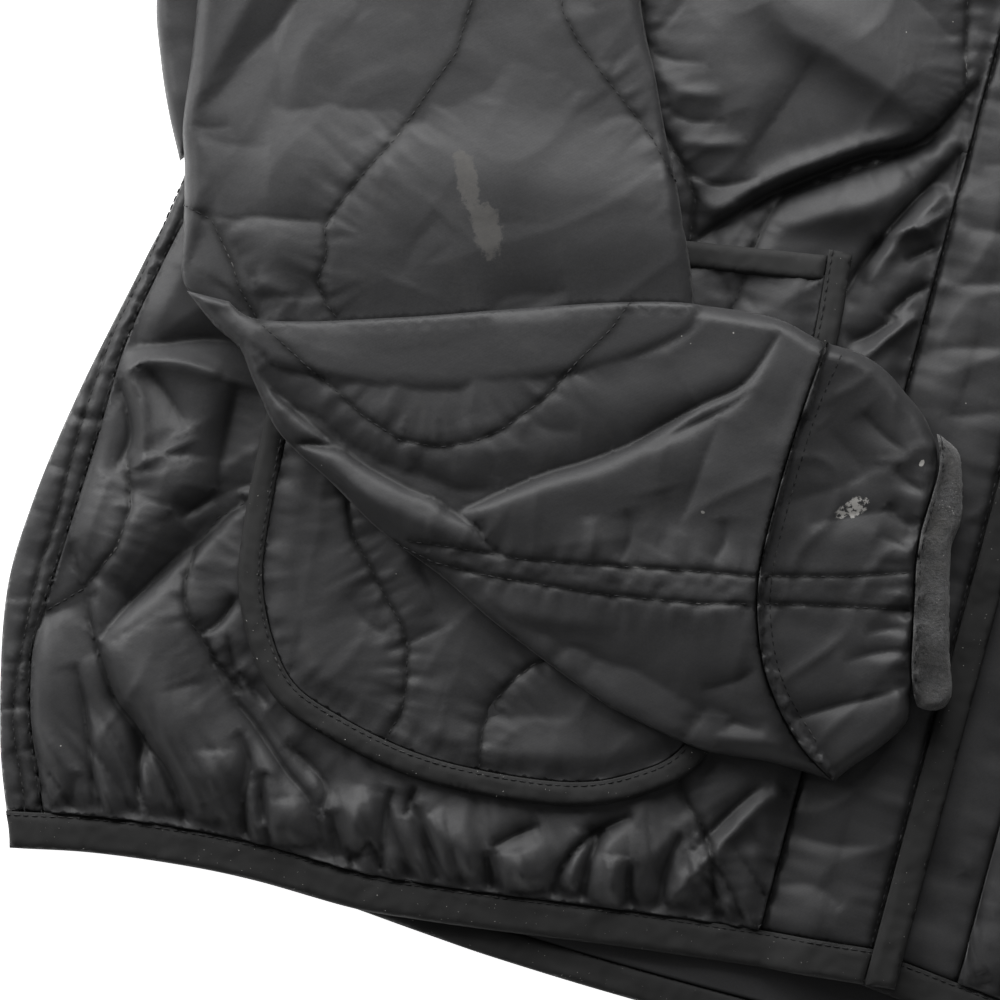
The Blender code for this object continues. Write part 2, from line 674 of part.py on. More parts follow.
def bent_sleeve():
    """The wearer's right sleeve: down from the shoulder, and folded across the front at the elbow."""
    floor = sleeve_floor(1)
    lines = [through(line) for line in SLEEVE_QUILT]
    border = through([*UPPER_ARM, UPPER_ARM[0]])[:-1]
    top = puffed(floor, ARM_LOFT, ARM_ROUND, lines, ARM_FOLDS)
    sleeve = piece("sleeve_right", "nylon", border, top, floor, CLOTH_SPACING, lines, UNDER_SPACING)
    seam, lower, upper = (through(curve, CURVE_STEP) for curve in (CUFF_SEAM, FOREARM_LOWER, FOREARM_UPPER))
    lines = [through(line) for line in FOREARM_QUILT]
    border = looped(lower, beside(seam, GAP / 2), upper)
    top = puffed(raised(floor, FOREARM_LIFT), FOREARM_LOFT, FOREARM_ROUND, lines, FOREARM_FOLDS)
    under = raised(floor, FOREARM_CLEAR)
    add_to(sleeve, piece("forearm", "nylon", border, top, under, BAND_SPACING, lines, UNDER_SPACING))
    add_to(sleeve, lobe("right", False))
    lower, end, upper = (through(curve, CURVE_STEP) for curve in (CUFF_LOWER, CUFF_END, CUFF_UPPER))
    border = looped(beside(seam[::-1], GAP / 2), lower, beside(end, GAP / 2), upper)
    cuff, ring = cuff_pieces("right", border, end, floor)
    open_up((sleeve, cuff, ring), np.array(BENT_HOLLOW, float), floor)


def straight_sleeve():
    """The wearer's left sleeve, folded down over the front and nearly straight."""
    floor = sleeve_floor(-1)
    outer, seam, inner = (through(mirrored(rows)) for rows in (STRAIGHT_OUTER, STRAIGHT_SEAM, STRAIGHT_INNER))
    lines = [through(mirrored(line)) for line in STRAIGHT_QUILT]
    border = looped(inner, beside(seam, GAP / 2), outer, np.array([outer[-1], inner[0]]))
    top = puffed(floor, ARM_LOFT, ARM_ROUND, lines, folds_mirrored(ARM_FOLDS))
    sleeve = piece("sleeve_left", "nylon", border, top, floor, CLOTH_SPACING, lines, UNDER_SPACING)
    add_to(sleeve, lobe("left", True))
    end = through(mirrored(STRAIGHT_CUFF_END))
    inner, outer = through(mirrored(STRAIGHT_CUFF_INNER)), through(mirrored(STRAIGHT_CUFF_OUTER))
    border = looped(inner, beside(end, GAP / 2), outer, beside(seam[::-1], GAP / 2))
    cuff, ring = cuff_pieces("left", border, end, floor)
    open_up((sleeve, cuff, ring), mirrored(STRAIGHT_HOLLOW), floor)


def flat_tape(points, edge):
    """Top of the tapes on the back, which lie on the surface."""
    return BACK_BINDING_EDGE + (BACK_TOP - BACK_BINDING_EDGE) * rounded(edge, BACK_BINDING_ROUND)


def back_bindings():
    """The tape along the back's hem and neck."""
    hem = straight(-340, HEM_Y, 340, HEM_Y)
    sides = through(SIDE), through(mirrored(SIDE))
    strip = outline(hem, sides[1], beside(hem, BINDING)[::-1], sides[0])
    piece("hem_binding_back", "tape", strip, flat_tape, level(0), TAPE_SPACING)
    neck = through(NECK_BACK)[::-1]
    shoulder_r, shoulder_l = beside(through(SHOULDER), 1), beside(through(mirrored(SHOULDER)), 1)
    strip = outline(neck, shoulder_r, beside(neck, BINDING)[::-1], shoulder_l)
    piece("neck_binding_back", "tape", strip, flat_tape, level(0), TAPE_SPACING)


def main():
    for obj in list(bpy.data.objects):
        bpy.data.objects.remove(obj)
    for name, (colour, roughness) in MATERIALS.items():
        material = bpy.data.materials.new(name)
        material.use_nodes = True
        shader = material.node_tree.nodes["Principled BSDF"]
        shader.inputs["Base Color"].default_value = colour
        shader.inputs["Roughness"].default_value = roughness
    back_piece()
    back_bindings()
    side_pieces("right", False)
    side_pieces("left", True)
    bent_sleeve()
    straight_sleeve()


main()
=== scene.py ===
"""The looks of a quilted liner jacket that lies flat, with its sleeves folded over its fronts.

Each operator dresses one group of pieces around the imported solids, from the lowest layer to the highest.
+X is to the onlooker's right and +Y runs from the hem to the neck, so the wearer's right side is at -X.
Lengths are in millimetres until a mesh is made; the sidebar's own sizes are in metres.
"""

import math
from collections import namedtuple

import bpy
import numpy as np
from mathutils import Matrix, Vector
from mathutils.geometry import delaunay_2d_cdt
from mathutils.kdtree import KDTree


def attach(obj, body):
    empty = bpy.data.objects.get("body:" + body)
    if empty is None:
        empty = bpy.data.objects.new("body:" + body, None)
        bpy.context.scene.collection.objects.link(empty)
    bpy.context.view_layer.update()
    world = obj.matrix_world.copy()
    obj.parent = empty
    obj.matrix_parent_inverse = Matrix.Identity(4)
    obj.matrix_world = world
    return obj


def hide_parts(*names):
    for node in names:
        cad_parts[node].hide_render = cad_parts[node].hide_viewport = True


bl_info = {
    "name": "Quilted liner jacket",
    "version": (1, 0, 0),
    "blender": (4, 5, 0),
    "location": "3D View > Sidebar > Liner jacket",
    "description": "Dresses a flat quilted liner jacket in nylon, tape and stitching",
    "category": "Object",
}

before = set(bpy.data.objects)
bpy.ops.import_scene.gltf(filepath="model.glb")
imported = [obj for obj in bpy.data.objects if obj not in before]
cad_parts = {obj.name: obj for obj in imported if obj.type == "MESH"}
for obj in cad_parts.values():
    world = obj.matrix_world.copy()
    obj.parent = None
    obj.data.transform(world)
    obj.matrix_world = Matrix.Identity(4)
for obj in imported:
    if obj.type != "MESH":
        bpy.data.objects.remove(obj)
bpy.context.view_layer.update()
MM = 0.001
GAP = 0.3  # between two layers

# Heights of the layers, from the surface up
BACK_TOP = 4.0
FRONT_FLOOR = 4.3
SEAM_THICK = 2.2
FRONT_TOP = 10.5
POCKET_FLOOR = 10.8
POCKET_TOP = 15.7
TAPE_THICK = 4.6
LAP_FLOOR = 9.2

# Heights above a sleeve's underside where its inside lies
HOLLOW_LOW = 0.9
HOLLOW_HIGH = 1.7
PINCH_PITCH = 21.0  # of the pinches across the turned sides
FOLD_DEPTH = 1.6  # how many times as deep the front's creases are as their table says
BACK_RIM = 1.9  # height of the back's outer edge
CREASE_STEP = 2.0  # between the points of a crease's route
CREASE_REACH = 2.6  # widths of a crease beyond which it is flat
VALLEY_POWER = 1.1  # how sharp a valley is, and then a ridge; 2 is round
RIDGE_POWER = 1.7
NARROW_CREASE = 4.5  # widest crease that has rows of mesh points
SEAM_SHADE = 1.6  # width of the painted shade in a seam, and then in a narrow fold
FOLD_SHADE = 1.3
SIDES_APART = 500  # keeps the ripples on a seam's two sides unlike
STITCH_INSET = 1.2  # from a tape's sewn edge to its stitches
THREAD_SINK = 0.08
COVER = 1.6  # a stitch shows where nothing lies more than this above it
# Rows of mesh points at these distances inside every outline
RIMS = (0.6, 1.5, 2.9, 4.8, 7.4)

# Plan sizes
TAPE = 11.0
POCKET_TAPE = 8.5
HEM_TAPE = 13.0
SEAM_GAP = 0.04
FRONT_LAP = 15.0
BAND = 40.0
BAND_SEAM = TAPE - FRONT_LAP + BAND
SIDE_ROLL = 14.0
SHOULDER_ROLL = 8.0
QUILT_PITCH = 80.0
QUILT_SWING = 26.0
QUILT_REPEAT = 200.0

# The stage, in metres; each light's place is across, up and above the view, and then its size
VIEW_MIDDLE = (-0.1629, -0.1901, 0.012)
SIDE_LIGHT = (-0.66, 0.58, 0.36, 0.55)
TOP_LIGHT = (0.14, 0.72, 0.39, 0.62)
FLOOR_REACH = 6.0
FLOOR_DROP = 0.0004
SENSOR = 36.0  # the camera's, in millimetres

# Colours that the sidebar doesn't have
NYLON_DUST = (0.115, 0.108, 0.10)
TAPE_DUST = (0.115, 0.11, 0.102)
PALE_THREAD = (0.16, 0.155, 0.15)

# The part of the jacket that the camera sees closely
CLOSE_VIEW = [(-385, -60), (-36, 34), (60, -318), (-290, -412)]

# Curves of the wearer's right half, each in the order that runs round a front anticlockwise: rows of x, y
FRONT_HEM = [
    (-335, -360), (-299, -353), (-270, -347), (-238, -343), (-211, -341.5), (-176, -342), (-153, -340),
    (-124, -336.5), (-68, -329), (15, -320), (45, -318),
]
BACK_HEM = [
    (-340, -360), (-299, -351), (-270, -344.5), (-238, -340.5), (-211, -340), (-188, -341.3), (-150, -344.5),
    (-121, -346.5), (-72, -348), (0, -348), (72, -348), (150, -347), (250, -349), (299, -351), (340, -360),
]
NECK_FRONT = [(30, 256), (0, 257), (-25, 261), (-55, 278), (-78, 311), (-87, 363)]
SHOULDER = [(-60, 356.7), (-290, 296.8)]
ARMHOLE = [(-269, 316), (-262, 271), (-257, 218), (-264, 155), (-283, 109), (-306, 83)]
SIDE = [
    (-296, 115), (-297, 88), (-296, 31), (-297, -40), (-300, -109), (-306, -142), (-316, -191), (-322, -235),
    (-322, -270), (-311, -318), (-299, -350), (-297, -362),
]
SIDE_SEAM = [
    (-281, 125), (-283, 88), (-282, 31), (-283, -40), (-288, -90), (-294, -118), (-299, -142), (-304, -172),
    (-305, -206), (-306.5, -243), (-308, -277), (-306, -292), (-301, -310), (-292, -331), (-284, -350),
    (-280, -364),
]
SIDE_ROW = [
    (-291, 115), (-291, 88), (-290, 31), (-291, -40), (-295, -90), (-300, -112), (-305, -146), (-310, -173),
    (-312, -208), (-312, -240), (-313, -257), (-312, -279), (-310, -301), (-306, -315), (-298, -333),
    (-293, -348),
]
NECK_BACK = [(-95, 358), (-72, 345), (-40, 337), (0, 334), (40, 337), (72, 345), (95, 358)]
POCKET = [
    (-248, -104), (-250, -160), (-248, -215), (-242, -247), (-224, -275), (-199, -286), (-161, -292),
    (-115, -288), (-88, -277), (-71, -260), (-63, -225), (-62, -170), (-63, -110), (-66, -75),
]
UPPER_ARM = [
    (-268, 296), (-289, 230), (-303, 155), (-312, 83), (-316, 16), (-313, -30), (-307, -69), (-304, -92),
    (-300.5, -104), (-294.5, -127), (-289.5, -145), (-280, -150), (-265, -158), (-250, -164), (-200, -160),
    (-150, -140), (-119, -119), (-115, -108), (-128, -76), (-141, -50), (-150, -31), (-161, -8), (-180, 47),
    (-205, 119), (-232, 197), (-254, 264), (-261, 290),
]
UNDER_LOBE = [
    (-270, 296), (-291, 230), (-306, 155), (-317, 83), (-324, 10), (-327, -30), (-325, -52), (-318, -72),
    (-311, -88), (-302.5, -104),
]
FOREARM_LOWER = [
    (-287, -148), (-275, -157), (-264, -163), (-257, -172), (-246, -185), (-236, -192), (-222, -199),
    (-201, -211), (-176, -221), (-151, -233), (-113, -248), (-97, -252), (-71, -256), (-48, -254), (-25, -255),
]
CUFF_SEAM = [
    (-25, -255), (-41, -245), (-55, -230), (-64, -214), (-70, -192), (-71, -162), (-70, -133), (-68, -108),
]
FOREARM_UPPER = [
    (-68, -108), (-88, -104), (-116, -107), (-140, -113), (-173, -124), (-213, -138), (-258, -151),
    (-274, -147),
]
CUFF_LOWER = [(-25, -255), (-20, -248), (-12, -238.5), (-6, -228), (-7, -219)]
CUFF_END = [
    (-7, -219), (-11, -208), (-15, -189), (-18.5, -173), (-19.5, -161), (-19, -144), (-20, -137), (-23, -129),
]
CUFF_UPPER = [(-23, -129), (-28, -123), (-36, -117), (-46, -111), (-57, -108), (-68, -108)]
RING_OUTER = [
    (-23, -128), (-15, -131), (-11, -136), (-6, -154), (-6.5, -166), (-2, -185), (2, -200), (6.5, -213),
    (6, -219), (2, -222), (-4, -222), (-7, -218),
]
STRAIGHT_OUTER = [
    (-268, 296), (-289, 230), (-303, 155), (-312, 83), (-316, 16), (-312, -40), (-303, -100), (-288, -160),
    (-265, -212), (-238, -262),
]
STRAIGHT_SEAM = [(-238, -262), (-211, -252), (-165, -240), (-128, -232)]
STRAIGHT_INNER = [
    (-128, -232), (-136, -170), (-142, -110), (-150, -50), (-163, -8), (-180, 47), (-205, 119), (-232, 197),
    (-254, 264), (-261, 290),
]
STRAIGHT_CUFF_OUTER = [(-238, -262), (-229, -290), (-212, -312)]
STRAIGHT_CUFF_END = [(-212, -312), (-165, -301), (-120, -287)]
STRAIGHT_CUFF_INNER = [(-120, -287), (-119, -262), (-128, -232)]

# Stitching of the quilting
SLEEVE_QUILT = [
    [(-250, 150), (-232, 90), (-221, 30), (-217, -16), (-218, -44), (-223, -57), (-230, -77), (-239, -95),
     (-245, -110), (-246, -115), (-243, -124), (-244, -133), (-239, -140), (-235, -143)],
    [(-222, 90), (-208, 50), (-196, 10), (-186, -20), (-178, -29), (-165, -39), (-145, -54), (-134, -66),
     (-126, -71)],
    [(-297, -119), (-285, -122), (-274, -135), (-270, -142), (-262, -150)],
    [(-268, 238), (-262, 200), (-250, 150), (-236, 120), (-222, 90)],
]
FOREARM_QUILT = [
    [(-260, -152), (-250, -157), (-239, -163), (-228, -168), (-217, -174), (-202, -179), (-188, -178),
     (-177, -173), (-169, -167), (-157, -152), (-149, -136), (-141, -123), (-137, -112)],
]
FOREARM_SEAM = [
    [(-189, -212), (-172, -210), (-150, -208), (-121, -202.5), (-89, -196), (-71, -193)],
    [(-194, -214), (-180, -217), (-164, -217), (-123, -213), (-87, -207), (-72, -203)],
]
CUFF_TOPSTITCH = [(-36, -242), (-50, -228), (-59, -213), (-65, -192), (-66, -162), (-65, -134), (-62, -112)]
CUFF_SEAM_ROWS = [
    [(-72, -193), (-41, -185), (-17, -177)],
    [(-73, -203), (-52, -198), (-13, -189.5)],
]
STRAIGHT_QUILT = [
    [(-290, 124), (-262, 62), (-232, 16), (-220, -30), (-240, -90), (-262, -130), (-250, -190), (-205, -245)],
    [(-262, 238), (-250, 176), (-215, 114), (-204, 62), (-196, 10), (-190, -30), (-160, -90), (-175, -160),
     (-180, -240)],
]
STRAIGHT_SEAM_ROWS = [
    [(-272, -120), (-252, -170), (-226, -215), (-206, -252)],
    [(-263, -120), (-243, -168), (-217, -212), (-197, -249)],
]
POCKET_QUILT = [
    [(-226, -95), (-222, -150), (-218, -195), (-209, -216), (-201, -224), (-193, -233), (-185, -241),
     (-181, -248), (-178, -260), (-177, -270), (-182, -290)],
    [(-100, -90), (-108, -160), (-112, -205), (-120, -230), (-137, -243), (-143, -251), (-147, -260),
     (-148, -270), (-144, -292)],
]
BODY_QUILT = [
    [(-248, -213), (-257, -222), (-262, -234), (-262, -245), (-260, -253), (-256, -260), (-251, -264),
     (-244, -271), (-234, -278)],
    [(-292, -212), (-287, -226), (-288, -241), (-296, -258), (-306, -268)],
    [(-80, -262), (-74, -274), (-65, -282), (-60, -289), (-52, -312)],
    [(-100, -82), (-98, -69), (-94, -61), (-82, -53), (-73, -47), (-64, -41), (-50, -30), (-42, -10), (-52, 30),
     (-70, 70), (-60, 120), (-48, 170)],
    [(-160, -10), (-146, -46), (-130, -62), (-124, -71), (-122, -86)],
]

# Creases, in columns: the crease's width at its left and at its right, its height, and its route
ARM_CREASES = [
    (9, 15, -5.0, [(-304, -90), (-295, -80), (-286, -60), (-272, -40), (-256, -22), (-236, 0)]),
    (5, 4, 1.6, [(-303, -92), (-297, -66), (-292, -44), (-286, -20)]),
    (3, 5, -1.0, [(-304, -92), (-294, -91), (-286, -88)]),
    (7, 7, -1.3, [(-275, -80), (-258, -70), (-240, -62)]),
    (5, 6, -1.0, [(-300, -94), (-286, -95), (-272, -92)]),
    (6, 8, -1.0, [(-265, -80), (-255, -84), (-243, -92)]),
    (7, 4, -2.4, [(-282, -121), (-270, -117), (-259, -115), (-244, -112)]),
    (9, 5, -2.6, [(-186, -128), (-171, -121), (-159, -113)]),
    (8, 5, -2.4, [(-264, -145), (-251, -140), (-238, -137)]),
    (7, 9, 1.2, [(-240, -80), (-222, -100), (-205, -112)]),
    (10, 12, -1.6, [(-216, -126), (-214, -112), (-208, -100)]),
    (12, 14, 1.4, [(-200, -40), (-190, -70), (-184, -96)]),
    (9, 12, -1.3, [(-196, -6), (-206, -30), (-204, -58)]),
    (8, 5, -6.0, [(-292, -140), (-280, -141), (-270, -145), (-256, -152)]),
    (4, 6, 2.4, [(-266, -138), (-258, -140), (-248, -140)]),
    (12, 14, -2.4, [(-300, 60), (-270, 80), (-246, 84)]),
    (10, 10, -1.8, [(-312, 10), (-290, 34), (-270, 40)]),
    (10, 9, 1.7, [(-236, 150), (-258, 130), (-280, 128)]),
]
FOREARM_CREASES = [
    (7, 1.5, -8.0, [(-256, -168), (-250, -173), (-242, -177), (-231, -182), (-220, -187), (-208, -191),
     (-195, -194), (-186, -195), (-178, -198), (-164, -203)]),
    (4, 4, 2.6, [(-264, -165), (-256, -175), (-248, -184), (-243, -188)]),
    (1.8, 1.5, -4.5, [(-247, -191), (-238, -190), (-229, -188), (-219, -187)]),
    (5, 6, 3.0, [(-244, -194), (-228, -196), (-206, -201), (-184, -205), (-166, -208)]),
    (9, 5, -3.0, [(-196, -186), (-186, -189), (-176, -190), (-164, -186)]),
    (8, 1.6, -6.5, [(-182, -199), (-173, -195), (-163, -187), (-150, -177), (-137, -169), (-121, -157),
     (-105, -141)]),
    (3.2, 1.4, -3.2, [(-124, -159), (-105, -141), (-94, -132), (-89, -124), (-84, -108)]),
    (3, 2, -2.2, [(-119, -160), (-100, -143.5), (-93, -137), (-88, -130)]),
    (6, 14, 2.6, [(-172, -199), (-150, -184), (-128, -171), (-104, -150)]),
    (2, 2, -2.6, [(-169, -199), (-164, -205), (-156, -209)]),
    (4, 4, -1.6, [(-96, -143), (-98, -155), (-99, -168), (-101, -186)]),
    (5, 7, -1.4, [(-161, -161), (-152, -162), (-142, -160)]),
    (7, 8, -1.2, [(-198, -150), (-186, -158), (-180, -168)]),
    (8, 8, -1.5, [(-110, -172), (-104, -184), (-106, -194)]),
    (3, 3, -1.8, [(-120, -182), (-116, -190), (-117, -200)]),
    (3, 4, -1.8, [(-86, -176), (-84, -184), (-86, -192)]),
    (3, 3, 1.6, [(-132, -188), (-128, -196), (-127, -202)]),
    (6, 5, 1.6, [(-166, -224), (-140, -226), (-112, -222)]),
    (8, 10, -2.2, [(-150, -232), (-120, -238), (-86, -240)]),
    (4, 4, -2.4, [(-88, -248), (-71, -244), (-53, -244)]),
    (4, 4, 2.0, [(-80, -253), (-62, -249), (-44, -246)]),
    (3, 5, -2.0, [(-79, -236), (-66, -228), (-58, -216)]),
]
CUFF_CREASES = [
    (4, 3, -2.6, [(-50, -240), (-35, -231), (-19, -222), (-6, -214)]),
    (4, 6, -1.8, [(-58, -171), (-42, -163), (-27, -157)]),
    (7, 7, -1.6, [(-70, -167), (-52, -156), (-38, -144)]),
    (3.5, 4, -2.2, [(-50, -128), (-40, -134), (-30, -138)]),
    (5, 6, -1.4, [(-62, -136), (-50, -143), (-42, -150)]),
    (3, 3, -2.4, [(-34, -144), (-27, -148), (-20, -150)]),
    (3, 3, -2.0, [(-33, -157), (-26, -161), (-18, -163)]),
    (3, 3, -1.8, [(-34, -168), (-26, -169), (-19, -170)]),
    (3, 3, -1.5, [(-30, -203), (-22, -199), (-13, -196)]),
    (3, 4, -1.6, [(-34, -214), (-24, -208), (-12, -203)]),
]
FRONT_CREASES = [
    (8, 5, -5.0, [(-304, -172), (-290, -167), (-276, -162), (-262, -161), (-248, -165)]),
    (2.5, 4, 2.2, [(-303, -181), (-288, -173), (-268, -173)]),
    (5, 7, -3.6, [(-297, -176), (-286, -184), (-275, -195)]),
    (3.5, 4, -3.2, [(-305, -182), (-298, -193), (-294, -204), (-297, -218)]),
    (2.5, 3, 2.0, [(-302, -180), (-294, -188), (-289, -200), (-286, -212)]),
    (8, 6, -5.0, [(-262, -174), (-262, -192), (-260, -212)]),
    (12, 10, 2.6, [(-276, -204), (-274, -214), (-268, -222)]),
    (5, 3, -3.6, [(-270, -226), (-258, -213), (-246, -206)]),
    (2, 2, 1.0, [(-294, -215), (-282, -206), (-270, -196)]),
    (3.5, 10, -7.0, [(-306, -243), (-298, -255), (-293, -265), (-288, -274), (-282, -283), (-275, -293),
     (-267, -299), (-259, -306), (-251, -312), (-244, -321), (-240, -330)]),
    (3.5, 4, 1.6, [(-302, -248), (-293, -263), (-286, -277), (-276, -291)]),
    (16, 15, 3.6, [(-280, -272), (-264, -287), (-248, -302), (-234, -318)]),
    (9, 9, 1.2, [(-309, -262), (-301, -292), (-289, -320)]),
    (3, 8, -6.0, [(-250, -212), (-259, -226), (-266, -237), (-275, -252), (-281, -262), (-286, -274)]),
    (14, 14, 2.8, [(-284, -222), (-284, -236), (-292, -250)]),
    (9, 9, 2.2, [(-270, -252), (-258, -266), (-250, -280)]),
    (3, 5, -3.4, [(-256, -256), (-248, -268), (-237, -280), (-225, -289), (-211, -301), (-199, -310),
     (-191, -326)]),
    (2, 3, -2.8, [(-243, -246), (-247, -257), (-252, -263)]),
    (1.8, 2.2, -2.0, [(-243, -260), (-239, -270), (-234, -280)]),
    (2.5, 2.5, 0.8, [(-246, -266), (-241, -275), (-234, -285)]),
    (2.2, 2.2, -1.8, [(-236, -272), (-229, -277), (-222, -281)]),
    (2.5, 2.5, -2.0, [(-306, -271), (-297, -263), (-290, -258)]),
    (3, 2.4, -3.4, [(-231, -292), (-225, -300), (-223, -314), (-218, -328)]),
    (2.4, 5, -3.6, [(-262, -300), (-261, -314), (-256, -333)]),
    (2.2, 4, -3.2, [(-292, -284), (-284, -300), (-277, -318), (-272, -334)]),
    (3.5, 3, -2.6, [(-218, -303), (-217, -312), (-214, -322)]),
    (4, 4, -1.8, [(-281, -320), (-281, -328), (-279, -336)]),
    (7, 6, 2.4, [(-236, -300), (-233, -312), (-229, -324)]),
    (7, 6, 2.0, [(-207, -310), (-204, -318), (-201, -326)]),
    (4, 6, -1.2, [(-232, -272), (-224, -284), (-212, -294), (-199, -302)]),
    (4, 3, -2.8, [(-214, -292), (-203, -297), (-195, -304), (-196, -314)]),
    (2.6, 4, -3.2, [(-192, -310), (-188, -318), (-182, -328)]),
    (3, 4, -2.6, [(-176, -316), (-178, -321), (-180, -329)]),
    (3.5, 3, -3.4, [(-173, -297), (-173, -310), (-169, -326)]),
    (6, 5, 2.6, [(-182, -300), (-182, -312), (-176, -322)]),
    (2, 2, -2.4, [(-165, -294), (-166, -300), (-166, -306)]),
    (3, 4, -3.4, [(-164, -301), (-154, -315), (-144, -325)]),
    (6, 5, 2.6, [(-158, -302), (-148, -310), (-138, -320)]),
    (3, 3, -2.6, [(-136, -310), (-133, -317), (-131, -325)]),
    (3, 4, -2.8, [(-135, -309), (-127, -302), (-119, -296)]),
    (6, 6, 2.4, [(-126, -306), (-122, -313), (-119, -321)]),
    (3, 2.4, -4.0, [(-89, -284), (-102, -296), (-108, -307), (-110, -322)]),
    (2.6, 3, -4.0, [(-98, -292), (-100, -304), (-99, -320)]),
    (4, 4, 2.4, [(-104, -294), (-105, -304), (-104, -316)]),
    (3, 3, -2.8, [(-86, -300), (-85, -308), (-82, -318)]),
    (5, 5, 2.6, [(-92, -300), (-91, -310), (-90, -318)]),
    (3, 3, -3.0, [(-71, -286), (-73, -300), (-72, -316)]),
    (3.5, 3, 2.6, [(-40, -262), (-48, -270), (-58, -288), (-70, -312)]),
    (4, 3, -2.6, [(-48, -262), (-56, -274), (-66, -292)]),
    (26, 7, 5.5, [(-130, 12), (-110, -2), (-92, -8), (-75, -14), (-62, -20), (-52, -29)]),
    (16, 12, -3.5, [(-96, 34), (-74, 20), (-54, 8), (-40, -6)]),
    (24, 22, 2.4, [(-150, -14), (-126, -26), (-104, -34)]),
    (1.6, 4.6, -6.0, [(-124, -90), (-113, -76), (-98, -61), (-84, -50), (-70, -40), (-56, -33), (-46, -21),
     (-33, 8)]),
    (4, 2.4, 2.6, [(-116, -72), (-98, -56), (-82, -45), (-66, -35), (-56, -28)]),
    (9, 7, 3.4, [(-96, -86), (-80, -68), (-66, -58), (-52, -44)]),
    (1.6, 6, -5.0, [(-68, -98), (-60, -73), (-50, -51), (-39, -34), (-28, -12)]),
    (4, 3, 2.6, [(-58, -84), (-50, -62), (-38, -44)]),
    (2.6, 2.6, 2.2, [(-60, -68), (-50, -62), (-40, -60)]),
    (2.2, 1.8, -2.6, [(-33, -27), (-39, -35), (-45, -44)]),
    (2.2, 2.2, 2.2, [(-34, -50), (-40, -55), (-47, -62)]),
    (2.0, 2.0, -2.4, [(-34, -62), (-41, -67), (-48, -73)]),
    (2.2, 2.2, -2.8, [(-36, -78), (-43, -84), (-49, -94)]),
    (2.2, 2.2, 2.4, [(-36, -88), (-45, -98), (-53, -110)]),
    (4, 3, -3.0, [(-60, -106), (-52, -100), (-45, -92)]),
    (4, 3, -1.0, [(-158, -22), (-146, -26), (-132, -24)]),
    (3, 3, 1.0, [(-150, -32), (-138, -36), (-124, -34)]),
    (3, 3, -1.1, [(-144, -42), (-134, -45), (-120, -42)]),
    (3, 2.4, 1.1, [(-136, -52), (-126, -52), (-112, -48)]),
    (2.4, 3, -1.4, [(-130, -62), (-118, -64), (-104, -58)]),
    (3, 3, 1.3, [(-124, -70), (-114, -72), (-104, -66)]),
]
POCKET_CREASES = [
    (3, 4, -2.0, [(-111, -92), (-104, -99), (-97, -108)]),
    (4, 4, -1.8, [(-104, -92), (-99, -98), (-92, -104)]),
    (8, 6, 1.5, [(-238, -180), (-216, -206), (-204, -236)]),
    (7, 5, -1.7, [(-236, -214), (-222, -240), (-216, -264)]),
    (5, 5, 1.6, [(-196, -206), (-186, -224), (-176, -234)]),
    (4, 4, -1.6, [(-186, -216), (-176, -229), (-168, -238)]),
    (7, 6, -1.6, [(-166, -262), (-142, -262), (-116, -256)]),
    (6, 6, 1.4, [(-170, -276), (-140, -276), (-110, -266)]),
    (3, 3, -1.4, [(-188, -252), (-180, -246), (-171, -238)]),
    (4, 4, -1.5, [(-206, -236), (-198, -243), (-188, -246)]),
]
BAND_CREASES = [
    (4, 3, -1.6, [(-38, -276), (-22, -277), (-4, -273)]),
    (5, 4, -1.4, [(-36, -296), (-22, -292), (-10, -297)]),
    (5, 4, -1.8, [(-30, -56), (-16, -54), (-2, -50)]),
    (4, 4, -1.7, [(-32, -78), (-18, -73), (-4, -70)]),
    (5, 4, -1.7, [(-33, -101), (-18, -96), (-4, -93)]),
    (4, 3, -1.3, [(-31, -33), (-18, -30), (-5, -26)]),
    (4, 3, -1.3, [(-31, -10), (-18, -8), (-5, -6)]),
    (4, 4, -1.3, [(-22, -122), (-12, -119), (0, -114)]),
]
# Worn and pale marks, in columns: x, y, half length, half width, and turn in degrees
MARKS = {
    "arm scuff": (-202.5, -86, 16, 4.4, 120),
    "arm scuff end": (-191.5, -100.5, 12, 6.4, 118),
    "cuff scuff": (-43.5, -161, 7.5, 3.6, 40),
    "cuff spot": (-25, -140, 1.6, 1.1, 70),
    "forearm spot": (-94, -176, 0.9, 0.7, 0),
}
# Routes of stitching on what has been laid, as x, y, z
STITCH_ROUTES = []


class LinerCloth(bpy.types.PropertyGroup):
    """Sizes of the cloth."""

    fine: bpy.props.FloatProperty(
        name="Close spacing", description="Between mesh points where the jacket is seen closely",
        default=0.00128, unit="LENGTH")
    coarse: bpy.props.FloatProperty(
        name="Wide spacing", description="Between mesh points elsewhere", default=0.0045, unit="LENGTH")
    under: bpy.props.FloatProperty(
        name="Underside spacing", description="Between mesh points of hidden undersides",
        default=0.022, unit="LENGTH")
    puff: bpy.props.FloatProperty(
        name="Puff", description="How far the padding stands above its stitching",
        default=0.0052, unit="LENGTH")
    arm_loft: bpy.props.FloatProperty(
        name="Upper arm loft", description="Thickness of the flat upper arm", default=0.0105, unit="LENGTH")
    forearm_loft: bpy.props.FloatProperty(
        name="Forearm loft", description="Thickness of the folded forearm", default=0.012, unit="LENGTH")
    cuff_loft: bpy.props.FloatProperty(
        name="Cuff loft", description="Thickness of a cuff", default=0.009, unit="LENGTH")
    crumple: bpy.props.FloatProperty(
        name="Crumple", description="Height of the small uneven dents", default=0.0011, unit="LENGTH")
    pucker: bpy.props.FloatProperty(
        name="Pucker", description="Height of the ripples along a seam", default=0.0011, unit="LENGTH")


